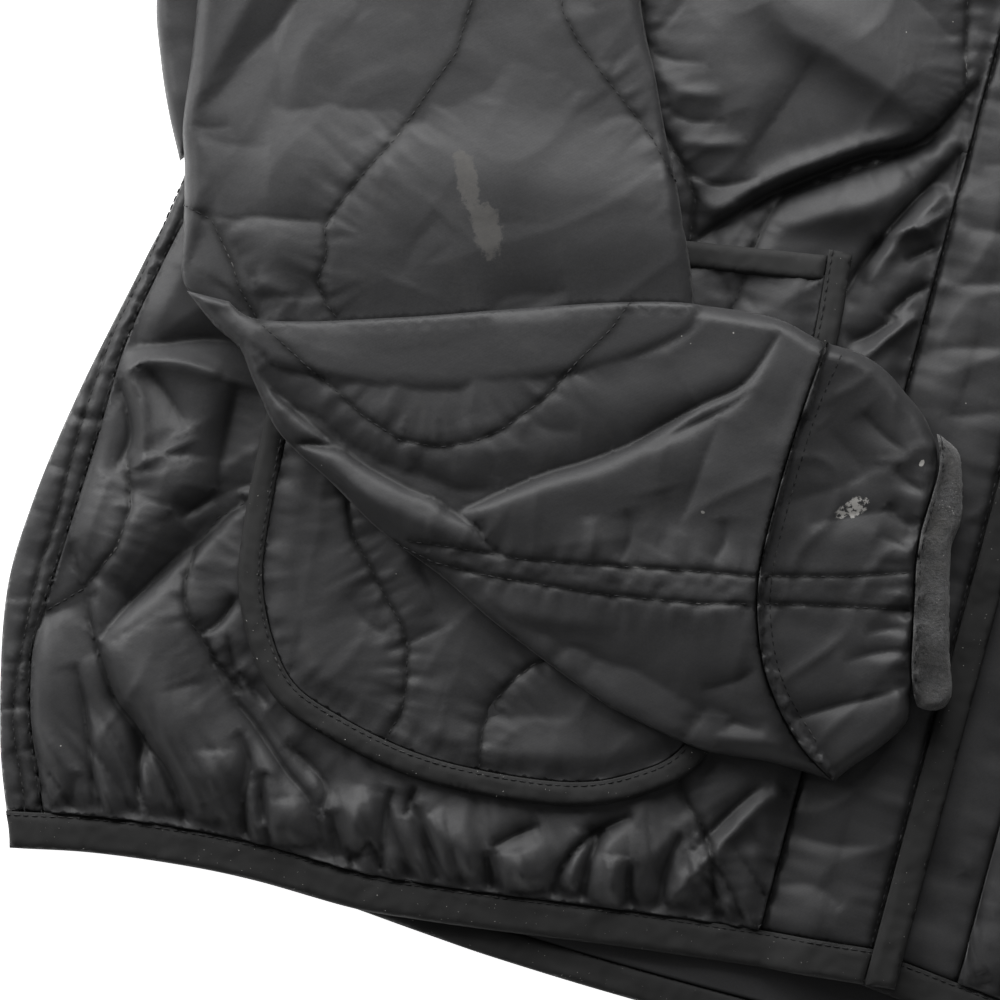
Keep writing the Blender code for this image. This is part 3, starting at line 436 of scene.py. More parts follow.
class LinerThread(bpy.types.PropertyGroup):
    """Sizes of the stitching and lint."""

    pitch: bpy.props.FloatProperty(
        name="Stitch pitch", description="From one stitch to the next", default=0.0031, unit="LENGTH")
    length: bpy.props.FloatProperty(
        name="Stitch length", description="Of the thread that shows", default=0.0024, unit="LENGTH")
    radius: bpy.props.FloatProperty(
        name="Thread radius", description="Half the thread's thickness", default=0.0003, unit="LENGTH")
    lint: bpy.props.FloatProperty(
        name="Lint per square metre", description="Pale fibres caught on the tape", default=26000.0, min=0.0)


class LinerFinish(bpy.types.PropertyGroup):
    """Colours of the finishes."""

    nylon: bpy.props.FloatVectorProperty(
        name="Nylon", description="Shell colour", default=(0.034, 0.034, 0.0353), subtype="COLOR", min=0, max=1)
    tape: bpy.props.FloatVectorProperty(
        name="Tape", description="Binding colour", default=(0.066, 0.066, 0.067), subtype="COLOR", min=0, max=1)
    thread: bpy.props.FloatVectorProperty(
        name="Thread", description="Stitching colour",
        default=(0.012, 0.012, 0.013), subtype="COLOR", min=0, max=1)
    scuff: bpy.props.FloatVectorProperty(
        name="Scuff", description="Worn nylon", default=(0.092, 0.089, 0.085), subtype="COLOR", min=0, max=1)
    dust: bpy.props.FloatVectorProperty(
        name="Lint", description="Dust and lint", default=(0.42, 0.41, 0.39), subtype="COLOR", min=0, max=1)


class LinerStage(bpy.types.PropertyGroup):
    """The floor, the light and the camera."""

    view_width: bpy.props.FloatProperty(
        name="View width", description="Width of cloth in the picture", default=0.35, unit="LENGTH")
    turn: bpy.props.FloatProperty(
        name="Turn", description="Turn of the camera about the vertical",
        default=math.radians(15), subtype="ANGLE")
    lens: bpy.props.FloatProperty(
        name="Lens", description="Focal length", default=150.0, subtype="DISTANCE_CAMERA")
    side_light: bpy.props.FloatProperty(
        name="Side light", description="Power of the light at the left", default=7.7, subtype="POWER")
    top_light: bpy.props.FloatProperty(
        name="Top light", description="Power of the light beyond the top", default=7.3, subtype="POWER")
    fill: bpy.props.FloatProperty(name="Fill light", description="Strength of the room", default=0.11, min=0)


def sidebar(name):
    """A cloth or thread size of the sidebar's, in millimetres."""
    scene = bpy.context.scene
    group = scene.liner_cloth if hasattr(scene.liner_cloth, name) else scene.liner_thread
    return getattr(group, name) / MM


# Lines and outlines


def spaced(line, step, least=3):
    """Points about step apart along a line, and at least so many of them."""
    along = np.concatenate([[0], np.cumsum(np.linalg.norm(np.diff(line, axis=0), axis=1))])
    at = np.linspace(0, along[-1], max(least, int(round(along[-1] / step)) + 1))
    return np.stack([np.interp(at, along, line[:, k]) for k in range(2)], axis=1)


def through(rows, step=2.5):
    """A smooth curve through the rows, as points about step apart."""
    rows = np.array(rows, float)
    line = rows
    if len(rows) > 2:
        ends = np.vstack([2 * rows[0] - rows[1], rows, 2 * rows[-1] - rows[-2]])
        t = np.linspace(0, 1, 12, endpoint=False)[:, None]
        stretches = []
        for a, b, c, d in zip(ends, ends[1:], ends[2:], ends[3:]):
            bend, twist = 2 * a - 5 * b + 4 * c - d, 3 * b - a - 3 * c + d
            stretches.append(0.5 * (2 * b + (c - a) * t + bend * t**2 + twist * t**3))
        line = np.vstack([*stretches, rows[-1:]])
    return spaced(line, step, least=2)


def beside(curve, distance):
    """The curve moved to its left."""
    run = np.gradient(curve, axis=0)
    run /= np.maximum(np.linalg.norm(run, axis=1), 1e-9)[:, None]
    return curve + distance * np.stack([-run[:, 1], run[:, 0]], axis=1)


def longer(curve, length=12.0):
    """The curve run on straight at both its ends."""
    first, last = curve[0] - curve[1], curve[-1] - curve[-2]
    start = curve[0] + length * first / np.linalg.norm(first)
    return np.vstack([start, curve, curve[-1] + length * last / np.linalg.norm(last)])


def mirrored(curve):
    """The same curve across the centre line, run backwards so that it still turns anticlockwise."""
    return np.array(curve, float)[::-1] * (-1, 1)


def crossing(a, b):
    """Where curve a, near its end, meets curve b: the place, and the last point before it on each."""
    q, s = b[:-1], np.diff(b, axis=0)
    for i in reversed(range(len(a) - 1)):
        p, r = a[i], a[i + 1] - a[i]
        across = r[0] * s[:, 1] - r[1] * s[:, 0]
        across = np.where(np.abs(across) < 1e-9, np.nan, across)
        t = ((q - p)[:, 0] * s[:, 1] - (q - p)[:, 1] * s[:, 0]) / across
        u = ((q - p)[:, 0] * r[1] - (q - p)[:, 1] * r[0]) / across
        hits = np.nonzero((t >= -1e-9) & (t <= 1 + 1e-9) & (u >= -1e-9) & (u <= 1 + 1e-9))[0]
        if len(hits):
            return p + t[hits[0]] * r, i, int(hits[0])
    raise ValueError("two neighbouring edges of a piece don't meet")


def outline(*curves):
    """The closed outline between curves that follow each other and cross at its corners."""
    corners = [crossing(c, curves[(k + 1) % len(curves)]) for k, c in enumerate(curves)]
    points = []
    for k, curve in enumerate(curves):
        start, _, first = corners[k - 1]
        end, last, _ = corners[k]
        inner = curve[first + 1 : last + 1]
        near = np.minimum(np.linalg.norm(inner - start, axis=1), np.linalg.norm(inner - end, axis=1))
        points += [start[None], inner[near > 0.8]]
    return np.vstack(points)


def looped(*curves):
    """The closed outline of curves that already end where the next begins."""
    return np.vstack([curve[:-1] for curve in curves])


def closed(border):
    """The border with its first point again at its end."""
    return np.vstack([border, border[:1]])


def within(points, polygon):
    """True for each point inside the polygon."""
    result = np.zeros(len(points), bool)
    x, y = points.T
    for (x0, y0), (x1, y1) in zip(polygon, np.roll(polygon, -1, axis=0)):
        if y0 != y1:
            result ^= ((y0 > y) != (y1 > y)) & (x < (x1 - x0) * (y - y0) / (y1 - y0) + x0)
    return result


def nearby(points, curve, reach=0.0):
    """True for each point in the box round a curve, made wider by reach."""
    return np.all((points > curve.min(0) - reach) & (points < curve.max(0) + reach), axis=1)


def tidy(border):
    """An outline that turns anticlockwise, without points that lie on each other."""
    border = border[np.linalg.norm(border - np.roll(border, 1, axis=0), axis=1) > 0.2]
    x, y = border.T
    area = np.sum(x * np.roll(y, -1) - np.roll(x, -1) * y)
    return border if area > 0 else border[::-1]


def border_inside(border, distance):
    """A border moved inwards, without the loops that this makes in its corners."""
    border = tidy(border)
    moved = beside(closed(border), distance)[:-1]
    kept = Lines([closed(border)]).find(moved).away > 0.97 * distance
    return moved[kept][::3]


Found = namedtuple("Found", "away side along share")


class Lines:
    """Lines on the cloth, from which the nearest one and the place along it can be found."""

    STEP = 0.8

    def __init__(self, lines):
        dense = [spaced(np.array(line, float), self.STEP) for line in lines]
        self.place = np.vstack(dense)
        self.run = np.vstack([np.gradient(d, axis=0) for d in dense])
        self.run /= np.maximum(np.linalg.norm(self.run, axis=1), 1e-9)[:, None]
        self.along = np.concatenate([1000.0 * k + self.STEP * np.arange(len(d)) for k, d in enumerate(dense)])
        self.share = np.concatenate([np.linspace(0, 1, len(d)) for d in dense])
        self.tree = KDTree(len(self.place))
        for k, (x, y) in enumerate(self.place):
            self.tree.insert((x, y, 0), k)
        self.tree.balance()

    def find(self, points):
        """For each point: how far the nearest line is, on which side, and how far along that line."""
        if not len(points):
            return Found(*(np.zeros(0) for _ in range(4)))
        index = np.array([self.tree.find((x, y, 0.0))[1] for x, y in points])
        run, apart = self.run[index], points - self.place[index]
        slide = np.clip(np.sum(apart * run, axis=1), -self.STEP / 2, self.STEP / 2)
        side = np.sign(run[:, 0] * apart[:, 1] - run[:, 1] * apart[:, 0])
        away = np.linalg.norm(apart - slide[:, None] * run, axis=1)
        return Found(away, side, self.along[index] + slide, self.share[index])


class Half:
    """One half of the jacket: curves are written for the wearer's right half and mirrored for the left one."""

    def __init__(self, side):
        self.side = side
        self.mirror = side == "left"
        self.sign = -1 if self.mirror else 1

    def rows(self, rows):
        """Points on this half, in an order that turns anticlockwise."""
        return mirrored(rows) if self.mirror else np.array(rows, float)

    def curve(self, rows):
        """A smooth curve through points on this half."""
        return through(self.rows(rows))

    def creases(self, table):
        """A table of creases on this half."""
        if not self.mirror:
            return table
        return [(right, left, height, [(-x, y) for x, y in route]) for left, right, height, route in table]

    def outline(self, *curves):
        """The outline between curves that are given in the right half's order."""
        return outline(*(curves[::-1] if self.mirror else curves))

    def upright(self, from_edge):
        """A straight line up the front, so far from the front's edge."""
        x = self.sign * (FRONT_LAP - from_edge)
        ends = [(x, -345), (x, 285)]
        return through(ends[::-1] if self.mirror else ends)


RIGHT, LEFT = Half("right"), Half("left")


def both(rows):
    """A curve on the right half and on the left one."""
    return RIGHT.curve(rows), LEFT.curve(rows)


# Heights


def eased(distance, start, end):
    """0 up to start and 1 past end, smoothly."""
    t = np.clip((distance - start) / (end - start), 0, 1)
    return t * t * (3 - 2 * t)


def softly(z, low, high, bend=0.6):
    """Heights kept between two limits, with a soft bend at each."""
    z = low + bend * np.logaddexp(0, (z - low) / bend)
    return high - bend * np.logaddexp(0, (high - z) / bend)


def rounded(edge, radius):
    """The share of its height that a rounded edge has reached at a distance from the outline."""
    return np.sqrt(1 - (1 - np.clip(edge / radius, 0, 1)) ** 2)


def bell(away, width, power=2):
    """1 on a line, and less and less beyond its width."""
    return np.exp(-((away / width) ** power))


def tapered(share, power):
    """1 in the middle of a line and 0 at its ends, from the share of its length."""
    return np.sin(np.pi * np.clip(share, 0.001, 0.999)) ** power


def noise(points, size, seed):
    """Smooth noise from -1 to 1 whose bumps are about size wide; size may be a pair."""
    p = np.asarray(points, float) / size
    cell = np.floor(p).astype(np.int64)
    f = p - cell
    ease = f * f * f * (f * (f * 6 - 15) + 10)
    total = np.zeros(len(p))
    for dx, dy in ((0, 0), (1, 0), (0, 1), (1, 1)):
        h = (cell[:, 0] + dx) * 374761393 + (cell[:, 1] + dy) * 668265263 + seed * 974634777
        h = ((h ^ (h >> 13)) * 1274126177) & 0xFFFFFFFF
        turn = ((h ^ (h >> 16)) & 0xFFFF) / 65536 * 2 * np.pi
        slope = np.cos(turn) * (f[:, 0] - dx) + np.sin(turn) * (f[:, 1] - dy)
        total += slope * (ease[:, 0] if dx else 1 - ease[:, 0]) * (ease[:, 1] if dy else 1 - ease[:, 1])
    return 1.5 * total


def ridges(points, size, seed):
    """Thin uneven ridges, from 0 to 1."""
    return np.clip(1 - 3.2 * np.abs(noise(points, size, seed)), 0, 1) ** 2


def turned(points, degrees):
    """The points turned about the origin."""
    c, s = math.cos(math.radians(degrees)), math.sin(math.radians(degrees))
    return points @ np.array([[c, s], [-s, c]])


def creased(points, table):
    """The height that a table of creases adds."""
    total = np.zeros(len(points))
    for left, right, height, route in table:
        route = through(route, CREASE_STEP)
        near = nearby(points, route, CREASE_REACH * max(left, right))
        found = Lines([route]).find(points[near])
        width = np.where(found.side > 0, left, right)
        shape = bell(found.away, width, VALLEY_POWER if height < 0 else RIDGE_POWER) * tapered(found.share, 0.6)
        total[near] += height * shape
    return total


def crumpled(points, seed, size=34.0):
    """Small uneven dents and the thin ridges between them."""
    height = sidebar("crumple")
    broad = noise(points, size, seed) + 0.5 * noise(points, 0.45 * size, seed + 1)
    sharp = ridges(turned(points, 25), (0.8 * size, 1.5 * size), seed + 2)
    return height * (1.1 * broad + 0.7 * sharp - 0.25)


def beside_seam(found):
    """Each point's place along a seam, apart on its two sides, and away from it."""
    return np.stack([found.along + SIDES_APART * (found.side > 0), found.away], axis=1)


def gathered(found, reach, seed, pitch=5.5, height=None):
    """Ripples across a seam that die away from it."""
    place = beside_seam(found)
    ripple = noise(place, (pitch, 3.2 * reach), seed)
    ripple = ripple + 0.5 * noise(place, (0.55 * pitch, 1.6 * reach), seed + 1)
    height = sidebar("pucker") if height is None else height
    return height * ripple * np.exp(-found.away / reach) * eased(found.away, 0, 1.2)


def pleated(found, reach, seed, pitch, height):
    """Round gathers with sharp valleys between them that start at a seam and die away from it."""
    place = beside_seam(found)
    tilt = found.away * (0.45 + 0.35 * noise(place, (40, 60), seed + 7))
    lean = place + np.stack([tilt, np.zeros(len(place))], axis=1)
    wave = noise(lean, (pitch, 4 * reach), seed) + 0.45 * noise(lean, (0.6 * pitch, 2 * reach), seed + 1)
    share = bell(found.away, reach, 1.5) * (0.35 + 0.65 * eased(found.away, 0, 4))
    uneven = 0.75 + 0.5 * noise(place, (60, 80), seed + 2)
    return height * uneven * share * (1.9 * np.abs(wave) ** 0.85 - 0.55)


def stitched(points, seams, seed, reach=9.0):
    """A quilted surface, from 0 at its stitching to 1 in the middle of its padding, and its puckers."""
    found = seams.find(points)
    padding = 0.42 * (1 - bell(found.away, 1.9, 1.4)) + 0.58 * (1 - bell(found.away, 16.0))
    return padding, gathered(found, reach, seed)


def level(height):
    """A floor at one height."""

    def floor(points):
        return np.full(len(points), float(height))

    return floor


class Ground:
    """The height of all that has been laid so far, on square cells over the jacket."""

    CELL = 2.0
    LOW = np.array([-340.0, -362.0])
    SHAPE = (341, 363)

    def __init__(self):
        self.height = np.zeros(self.SHAPE)
        steps = np.meshgrid(*(np.arange(n) for n in self.SHAPE), indexing="ij")
        self.places = self.LOW + self.CELL * np.stack(steps, -1).reshape(-1, 2)

    def lay(self, border, top):
        """Put a piece down."""
        index = np.nonzero(nearby(self.places, border))[0]
        index = index[within(self.places[index], border)]
        away = Lines([closed(border)]).find(self.places[index]).away
        flat = self.height.reshape(-1)
        flat[index] = np.maximum(flat[index], top(self.places[index], away))

    def read(self, points, height):
        """A height between the cells round each point."""
        at = np.clip((points - self.LOW) / self.CELL, 0, np.array(self.SHAPE) - 1.001)
        i, j = at.astype(int).T
        u, v = (at - np.floor(at)).T
        return (
            height[i, j] * (1 - u) * (1 - v) + height[i + 1, j] * u * (1 - v)
            + height[i, j + 1] * (1 - u) * v + height[i + 1, j + 1] * u * v
        )

    def as_it_is(self):
        """A function that gives the highest ground beside each point, whatever is laid later."""
        grown = self.height.copy()
        for axis in (0, 1):
            grown = np.max([np.roll(grown, k, axis) for k in (-1, 0, 1)], axis=0)

        def under(points):
            return self.read(points, grown)

        return under


ground = Ground()


# Meshes


def thinned(points, size):
    """The points without those that share a small cell with another."""
    for shift in (0.0, 0.5):
        _, first = np.unique(np.floor(points / size + shift), axis=0, return_index=True)
        points = points[np.sort(first)]
    return points


def staggered(low, high, spacing):
    """A grid of points whose rows are shifted by half a step, at the same places for every piece."""
    rise = spacing * math.sqrt(3)
    first = np.floor(np.array(low) / (spacing, rise)) * (spacing, rise)
    grids = [np.meshgrid(np.arange(first[0] + k * spacing / 2, high[0], spacing),
                         np.arange(first[1] + k * rise / 2, high[1], rise)) for k in (0, 1)]
    return np.vstack([np.stack(grid, -1).reshape(-1, 2) for grid in grids])


def scattered(border, edge, rows, close):
    """The points inside a border: its rows, then a grid that is dense where close says and wide elsewhere."""
    kept = np.vstack([np.zeros((0, 2)), *rows])
    kept = kept[within(kept, border)]
    kept = thinned(kept[edge.find(kept).away > 0.45], 0.6)
    tree = KDTree(len(kept))
    for k, (x, y) in enumerate(kept):
        tree.insert((x, y, 0), k)
    tree.balance()
    groups = [kept]
    for spacing, wanted in ((sidebar("fine"), True), (sidebar("coarse"), False)):
        grid = staggered(border.min(0), border.max(0), spacing)
        grid = grid[within(grid, border)]
        grid = grid[close(grid) == wanted]
        grid = grid[edge.find(grid).away > 0.6 * spacing]
        if len(kept) and len(grid):
            clear = np.array([tree.find((x, y, 0))[2] for x, y in grid])
            grid = grid[clear > 0.6 * spacing]
        groups.append(grid)
    return np.vstack(groups)


def triangles(border, inner):
    """Triangles that fill a border through the inner points."""
    places = [Vector(p) for p in [*border, *inner]]
    found, _, faces, *_ = delaunay_2d_cdt(places, [], [list(range(len(border)))], 1, 1e-5)
    if len(found) != len(places):
        raise ValueError("the outline of a piece crosses itself")
    return faces


def nowhere(points):
    """True for no point: the mesh is wide everywhere."""
    return np.zeros(len(points), bool)


def in_view(points):
    """True for each point that the camera sees closely."""
    return within(points, np.array(CLOSE_VIEW, float))


def in_view_outside(*covers):
    """True for points that are seen closely and aren't covered by what lies on them."""

    def close(points):
        seen = in_view(points)
        for cover in covers:
            hidden = within(points, cover)
            hidden[hidden] = Lines([closed(cover)]).find(points[hidden]).away > 8
            seen &= ~hidden
        return seen

    return close


def rows_along(lines, offsets=(0.0, 0.9, -0.9, 2.0, -2.0), close=in_view):
    """Rows of mesh points along seams, dense where they are seen closely."""
    rows = []
    for line in lines:
        for offset in offsets:
            row = spaced(beside(np.array(line, float), offset), 1.5)
            near = close(row)
            rows += [row[near], row[~near][::3]]
    return rows


def crease_rows(table, close=in_view):
    """Rows of mesh points along the narrow creases, where any of them are seen closely."""
    if close is nowhere:
        return []
    routes = [through(route) for left, right, _, route in table if min(left, right) <= NARROW_CREASE]
    return rows_along(routes, (0.0, 1.0, -1.0, 2.2, -2.2), close)


def painted_shade_and_dust(points, seams, folds):
    """How deep in a seam or in the bottom of a narrow fold each point lies, from 0 to 1: the nylon's painted
    shade, and where the tape's dust lies.
    """
    shade_and_dust = bell(seams.find(points).away, SEAM_SHADE)
    for left, right, height, route in folds:
        if height <= -2 and min(left, right) <= 6:
            route = through(route, CREASE_STEP)
            near = nearby(points, route, 5)
            found = Lines([route]).find(points[near])
            share = tapered(found.share, 0.5) * min(1.0, -height / 4.5)
            shade_and_dust[near] = np.maximum(shade_and_dust[near], 0.85 * share * bell(found.away, FOLD_SHADE))
    return shade_and_dust


def hollow(space, grid, floor, first):
    """The places and faces of a flat space inside a piece; first is the number of its first point."""
    space = tidy(space)
    grid = grid[within(grid, space)]
    inner = grid[Lines([closed(space)]).find(grid).away > 4]
    plan = np.vstack([space, inner])
    count, rim = len(plan), len(space)
    places, faces = [], []
    for k, (rise, turn) in enumerate(((HOLLOW_LOW, 1), (HOLLOW_HIGH, -1))):
        places.append(np.column_stack([plan, floor(plan) + rise]))
        faces += [tuple(first + k * count + i for i in f)[::turn] for f in triangles(space, inner)]
    for i in range(rim):
        low, after = first + i, first + (i + 1) % rim
        faces.append((after, low, low + count, after + count))
    return places, faces


def linked(name, data):
    """A new object in the scene."""
    obj = bpy.data.objects.new(name, data)
    bpy.context.scene.collection.objects.link(obj)
    return obj


def placed(obj, stands_for):
    """Tie a finished piece to the jacket, and hide the solid that it stands for."""
    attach(obj, "root")
    if stands_for:
        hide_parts(stands_for)
    return obj


def piece(name, finish, stands_for, border, top, floor, close=in_view, rows=(), space=None,
          seams=None, folds=()):
    """A closed piece of cloth in its place: a fine top and a plain underside that share their edge.

    Close says where the mesh is dense, rows add points to it, space is the outline of a flat space inside, and
    the surface has painted shade in its seams and its narrow folds.
    """
    border = tidy(border)
    edge = Lines([closed(border)])
    rim_rows = []
    for rim in RIMS:
        row = beside(closed(border), rim)[:-1]
        rim_rows.append(row[edge.find(row).away > 0.92 * rim])
    inner = scattered(border, edge, [*rim_rows, *rows], close)
    grid = staggered(border.min(0), border.max(0), sidebar("under"))
    under = np.vstack([beside(closed(border), 3.0)[:-1][::2], grid])
    under = under[within(under, border)]
    under = thinned(under[edge.find(under).away > 2.5], 2.0)
    n, upper = len(border), np.vstack([border, inner])
    away = edge.find(upper).away
    away[:n] = 0
    places = [np.column_stack([upper, top(upper, away)]), np.column_stack([under, floor(under)])]
    faces = [tuple(f) for f in triangles(border, inner)]
    shift = len(upper) - n
    faces += [tuple(i if i < n else i + shift for i in reversed(f)) for f in triangles(border, under)]
    if space is not None:
        more_places, more_faces = hollow(space, grid, floor, len(upper) + len(under))
        places += more_places
        faces += more_faces
    mesh = bpy.data.meshes.new(name)
    mesh.from_pydata((MM * np.vstack(places)).tolist(), [], faces)
    if seams is not None:
        # The "sewn" attribute: painted shade in the seams and narrow folds of nylon, and the line of dust on a
        # tape
        shade_and_dust = np.zeros(len(mesh.vertices))
        shade_and_dust[: len(upper)] = painted_shade_and_dust(upper, seams, folds)
        mesh.attributes.new("sewn", "FLOAT", "POINT").data.foreach_set("value", shade_and_dust)
    mesh.validate()
    mesh.shade_smooth()
    mesh.materials.append(bpy.data.materials[finish])
    ground.lay(border, top)
    return placed(linked(name, mesh), stands_for)


def declared(obj, width, with_pieces=()):
    """From its area, work out how long a closed piece would be as a sheet that wide in millimetres, and give
    the piece back as it is.
    """
    area = sum(p.area for p in obj.data.polygons) / 2
    return (obj, area / (width * MM))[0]


def sew(lines, top, border):
    """Keep the routes of stitching on a surface, for the thread that is laid at the end."""
    border = tidy(border)
    edge = Lines([closed(border)])
    for line in lines:
        row = spaced(np.array(line, float), 1.0)
        row = row[within(row, border)]
        if len(row) >= 4:
            STITCH_ROUTES.append(np.column_stack([row, top(row, edge.find(row).away)]))


def tape_top(floor, thick, seed=11, sewn=None):
    """Top of a tape rolled over an edge: a little lumpy, and flat where it is sewn down."""
    seam = None if sewn is None else Lines([sewn])

    def height(points, edge):
        share = rounded(edge, 2.6)
        if seam:
            away = seam.find(points).away
            share = np.maximum(share, 0.8 * bell(away, 2.2)) - 0.16 * bell(away, 0.8)
        z = 0.5 * thick + 0.5 * thick * share
        lumps = 0.5 * noise(points, 11, seed) + 0.28 * noise(points, 4.2, seed + 1)
        return floor(points) + np.maximum(z + lumps * eased(edge, 0, 2), 0.4)

    return height


def tape_piece(name, border, thick, floor, seed=11, sewn=None):
    """A strip of tape on its floor, which stands for the binding of the same name."""
    seams = None if sewn is None else Lines([sewn])
    top = tape_top(floor, thick, seed, sewn)
    return piece(name, "tape", name.replace("tape", "binding"), border, top, floor, seams=seams)


# The body


def onion_lines(x_low, x_high, y_low, y_high):
    """The quilting lines over a stretch of the body."""
    y = np.arange(y_low, y_high, 6.0)
    lines = []
    for k in range(int(x_low // QUILT_PITCH), int(x_high // QUILT_PITCH) + 2):
        sway = QUILT_SWING * (-1) ** k * np.cos(2 * np.pi * y / QUILT_REPEAT)
        lines.append(np.stack([k * QUILT_PITCH + sway, y], axis=1))
    return lines


def make_back():
    """The back and its tapes: flat underneath, its sides and shoulders turned over to the front's seams."""
    side_r, side_l = both(SIDE)
    shoulder_r, shoulder_l = both(SHOULDER)
    hem, neck = through(BACK_HEM), through(NECK_BACK)[::-1]
    border = outline(
        beside(hem, TAPE - GAP), side_l, LEFT.curve(ARMHOLE), shoulder_l, beside(neck, TAPE - GAP), shoulder_r,
        RIGHT.curve(ARMHOLE), side_r,
    )
    flanks, tops = Lines([side_r, side_l]), Lines([shoulder_r, shoulder_l])
    side_seams = both(SIDE_SEAM)
    stitching = [*both(SIDE_ROW), *(beside(c, -0.9) for c in side_seams)]
    seams, quilting = Lines(side_seams), Lines(stitching)
    rows = [beside(c, d) for c in side_seams for d in (-1.8, -0.1, 0.5)]
    rows += [beside(c, SHOULDER_ROLL + d) for c in (shoulder_r, shoulder_l) for d in (-0.2, 0.8)]

    def top(points, edge):
        z = BACK_TOP + 0.8 * noise(points, 30, 3) * eased(edge, 0, 6)
        y = points[:, 1]
        side, over, sewn = seams.find(points), tops.find(points), quilting.find(points)
        roll = 3.6 * rounded(flanks.find(points).away, 8.0) + 0.5 * noise(points, 16, 5)
        roll -= 1.0 * bell(sewn.away, 1.3) - gathered(sewn, reach=4.5, seed=21, pitch=6.0, height=1.0)
        swing = (side.along + 11 * noise(points, 38, 6)) % PINCH_PITCH - PINCH_PITCH / 2
        roll -= 1.1 * bell(swing, 1.5) * (0.5 + 0.8 * noise(points, 30, 7))
        fade = (1 - eased(y, 35, 60)) * (side.side < 0) * (side.away < 30)
        z += np.maximum(roll, 0) * fade
        roll = 3.3 * rounded(over.away, 4.0) * (1 - eased(np.abs(points[:, 0]), 215, 235))
        z += np.where(over.away < SHOULDER_ROLL, roll, 0)
        return np.where(edge <= 0, BACK_RIM, z)

    def close(points):
        return in_view(points) & (flanks.find(points).away < SIDE_ROLL + 6)

    rows += rows_along(stitching)
    back = piece("back_panel", "nylon", "back", border, top, level(0), close, rows, seams=quilting)
    sew(stitching, top, border)
    strip = outline(hem, side_l, beside(hem, TAPE)[::-1], side_r)
    hem_tape = tape_piece("hem_tape_back", strip, BACK_TOP, level(0))
    strip = outline(neck, beside(shoulder_r, 1), beside(neck, TAPE)[::-1], beside(shoulder_l, 1))
    neck_tape = tape_piece("neck_tape_back", strip, BACK_TOP, level(0))
    declared(back, 640, with_pieces=[hem_tape, neck_tape])


def front_quilt(half):
    """A front's quilting: waves by rule, and listed lines in place of those that are seen closely."""
    quilt = [half.rows(line) for line in BODY_QUILT]
    reach = (BAND_SEAM + 4, 330) if half.mirror else (-330, -BAND_SEAM - 4)
    for line in onion_lines(*reach, -360, 345):
        stretches = [line] if half.mirror else np.split(line, np.nonzero(np.diff(in_view(line)))[0] + 1)
        quilt += [s for s in stretches if len(s) > 3 and (half.mirror or not in_view(s[:1])[0])]
    return quilt


def lap_floor(points):
    """The underside of the right front's band and tapes, which rise over the left front."""
    rise = eased(points[:, 0], -BAND_SEAM + 2, -FRONT_LAP - 2)
    return FRONT_FLOOR + (LAP_FLOOR - FRONT_FLOOR) * rise


def make_front(half):
    """One front with its band and tapes."""
    side, creases, quilt = half.side, half.creases(FRONT_CREASES), front_quilt(half)
    cloth_hem = beside(half.curve(FRONT_HEM), HEM_TAPE + SEAM_GAP)
    cloth_neck = beside(half.curve(NECK_FRONT), TAPE + SEAM_GAP)
    band_seam, side_seam = half.upright(TAPE + BAND + SEAM_GAP / 2), half.curve(SIDE_SEAM)
    shoulder = beside(half.curve(SHOULDER), SHOULDER_ROLL + GAP)
    border = half.outline(cloth_hem, band_seam, cloth_neck, shoulder, half.curve(ARMHOLE), side_seam)
    seams, edges = Lines(quilt), Lines([longer(cloth_hem), longer(band_seam)])
    pocket = half.curve(POCKET)
    hem_line, pocket_line, side_line = Lines([cloth_hem]), Lines([closed(pocket)]), Lines([side_seam])

    def top(points, edge):
        padding, ripple = stitched(points, seams, seed=31 + half.mirror)
        near_hem, near_pocket = hem_line.find(points), pocket_line.find(points)
        clear = np.where(within(points, pocket), 0, eased(near_pocket.away, 2, 22))
        z = 1.2 + sidebar("puff") * (0.15 + 0.75 * padding) * (0.35 + 0.65 * eased(edge, 0, 9))
        z += FOLD_DEPTH * creased(points, creases) * eased(edge, 0, 3) + ripple
        z += 0.6 * crumpled(points, seed=41 + half.mirror)
        z += pleated(near_hem, reach=24.0, seed=51, pitch=10.0, height=4.0)
        z += gathered(edges.find(points), reach=9.0, seed=52, pitch=8.0, height=1.4)
        z += gathered(near_pocket, reach=7.0, seed=53, pitch=8.0, height=0.9) + 3.0 * clear * eased(edge, 0, 22)
        z -= 1.9 * bell(side_line.find(points).away, 2.2)
        return FRONT_FLOOR + SEAM_THICK + softly(z, -1.0, 6.4 + 9.5 * clear)

    close = nowhere if half.mirror else in_view_outside(through(UPPER_ARM), pocket)
    rows = [*rows_along(quilt, close=close), *crease_rows(creases, close)]
    front = piece(f"front_panel_{side}", "nylon", f"front_{side}", border, top, level(FRONT_FLOOR), close, rows,
                  seams=seams, folds=creases)
    sew(quilt, top, border)
    floor = level(FRONT_FLOOR) if half.mirror else lap_floor
    band = make_band(half, cloth_hem, cloth_neck, floor)
    declared(front, 300, with_pieces=make_front_tapes(half, floor))
    declared(band, BAND)


def make_band(half, hem, neck, floor):
    """The plain band between a front and its edge tape."""
    creases = half.creases(BAND_CREASES)
    outer, inner = half.upright(TAPE + SEAM_GAP), half.upright(TAPE + BAND - SEAM_GAP / 2)
    border = half.outline(hem, outer, neck, inner[::-1])
    stitching = [beside(inner, -half.sign), beside(outer, half.sign)]
    edges, seams = Lines([outer, inner]), Lines(stitching)

    def top(points, edge):
        z = 2.6 + 1.6 * rounded(edge, 5) + 0.9 * bell(edge - 9, 9) - 1.0 * bell(seams.find(points).away, 1.2)
        ripple = gathered(edges.find(points), reach=13.0, seed=61, pitch=8.0, height=1.0)
        z += ripple + 0.8 * crumpled(points, 63)
        z += creased(points, creases) * eased(edge, 0, 4)
        return floor(points) + np.clip(z, 1.2, 7.0)

    close, rows = (nowhere, ()) if half.mirror else (in_view, rows_along(stitching))
    band = piece(f"band_panel_{half.side}", "nylon", f"band_{half.side}", border, top, floor, close, rows,
                 seams=seams)
    sew(stitching, top, border)
    return band


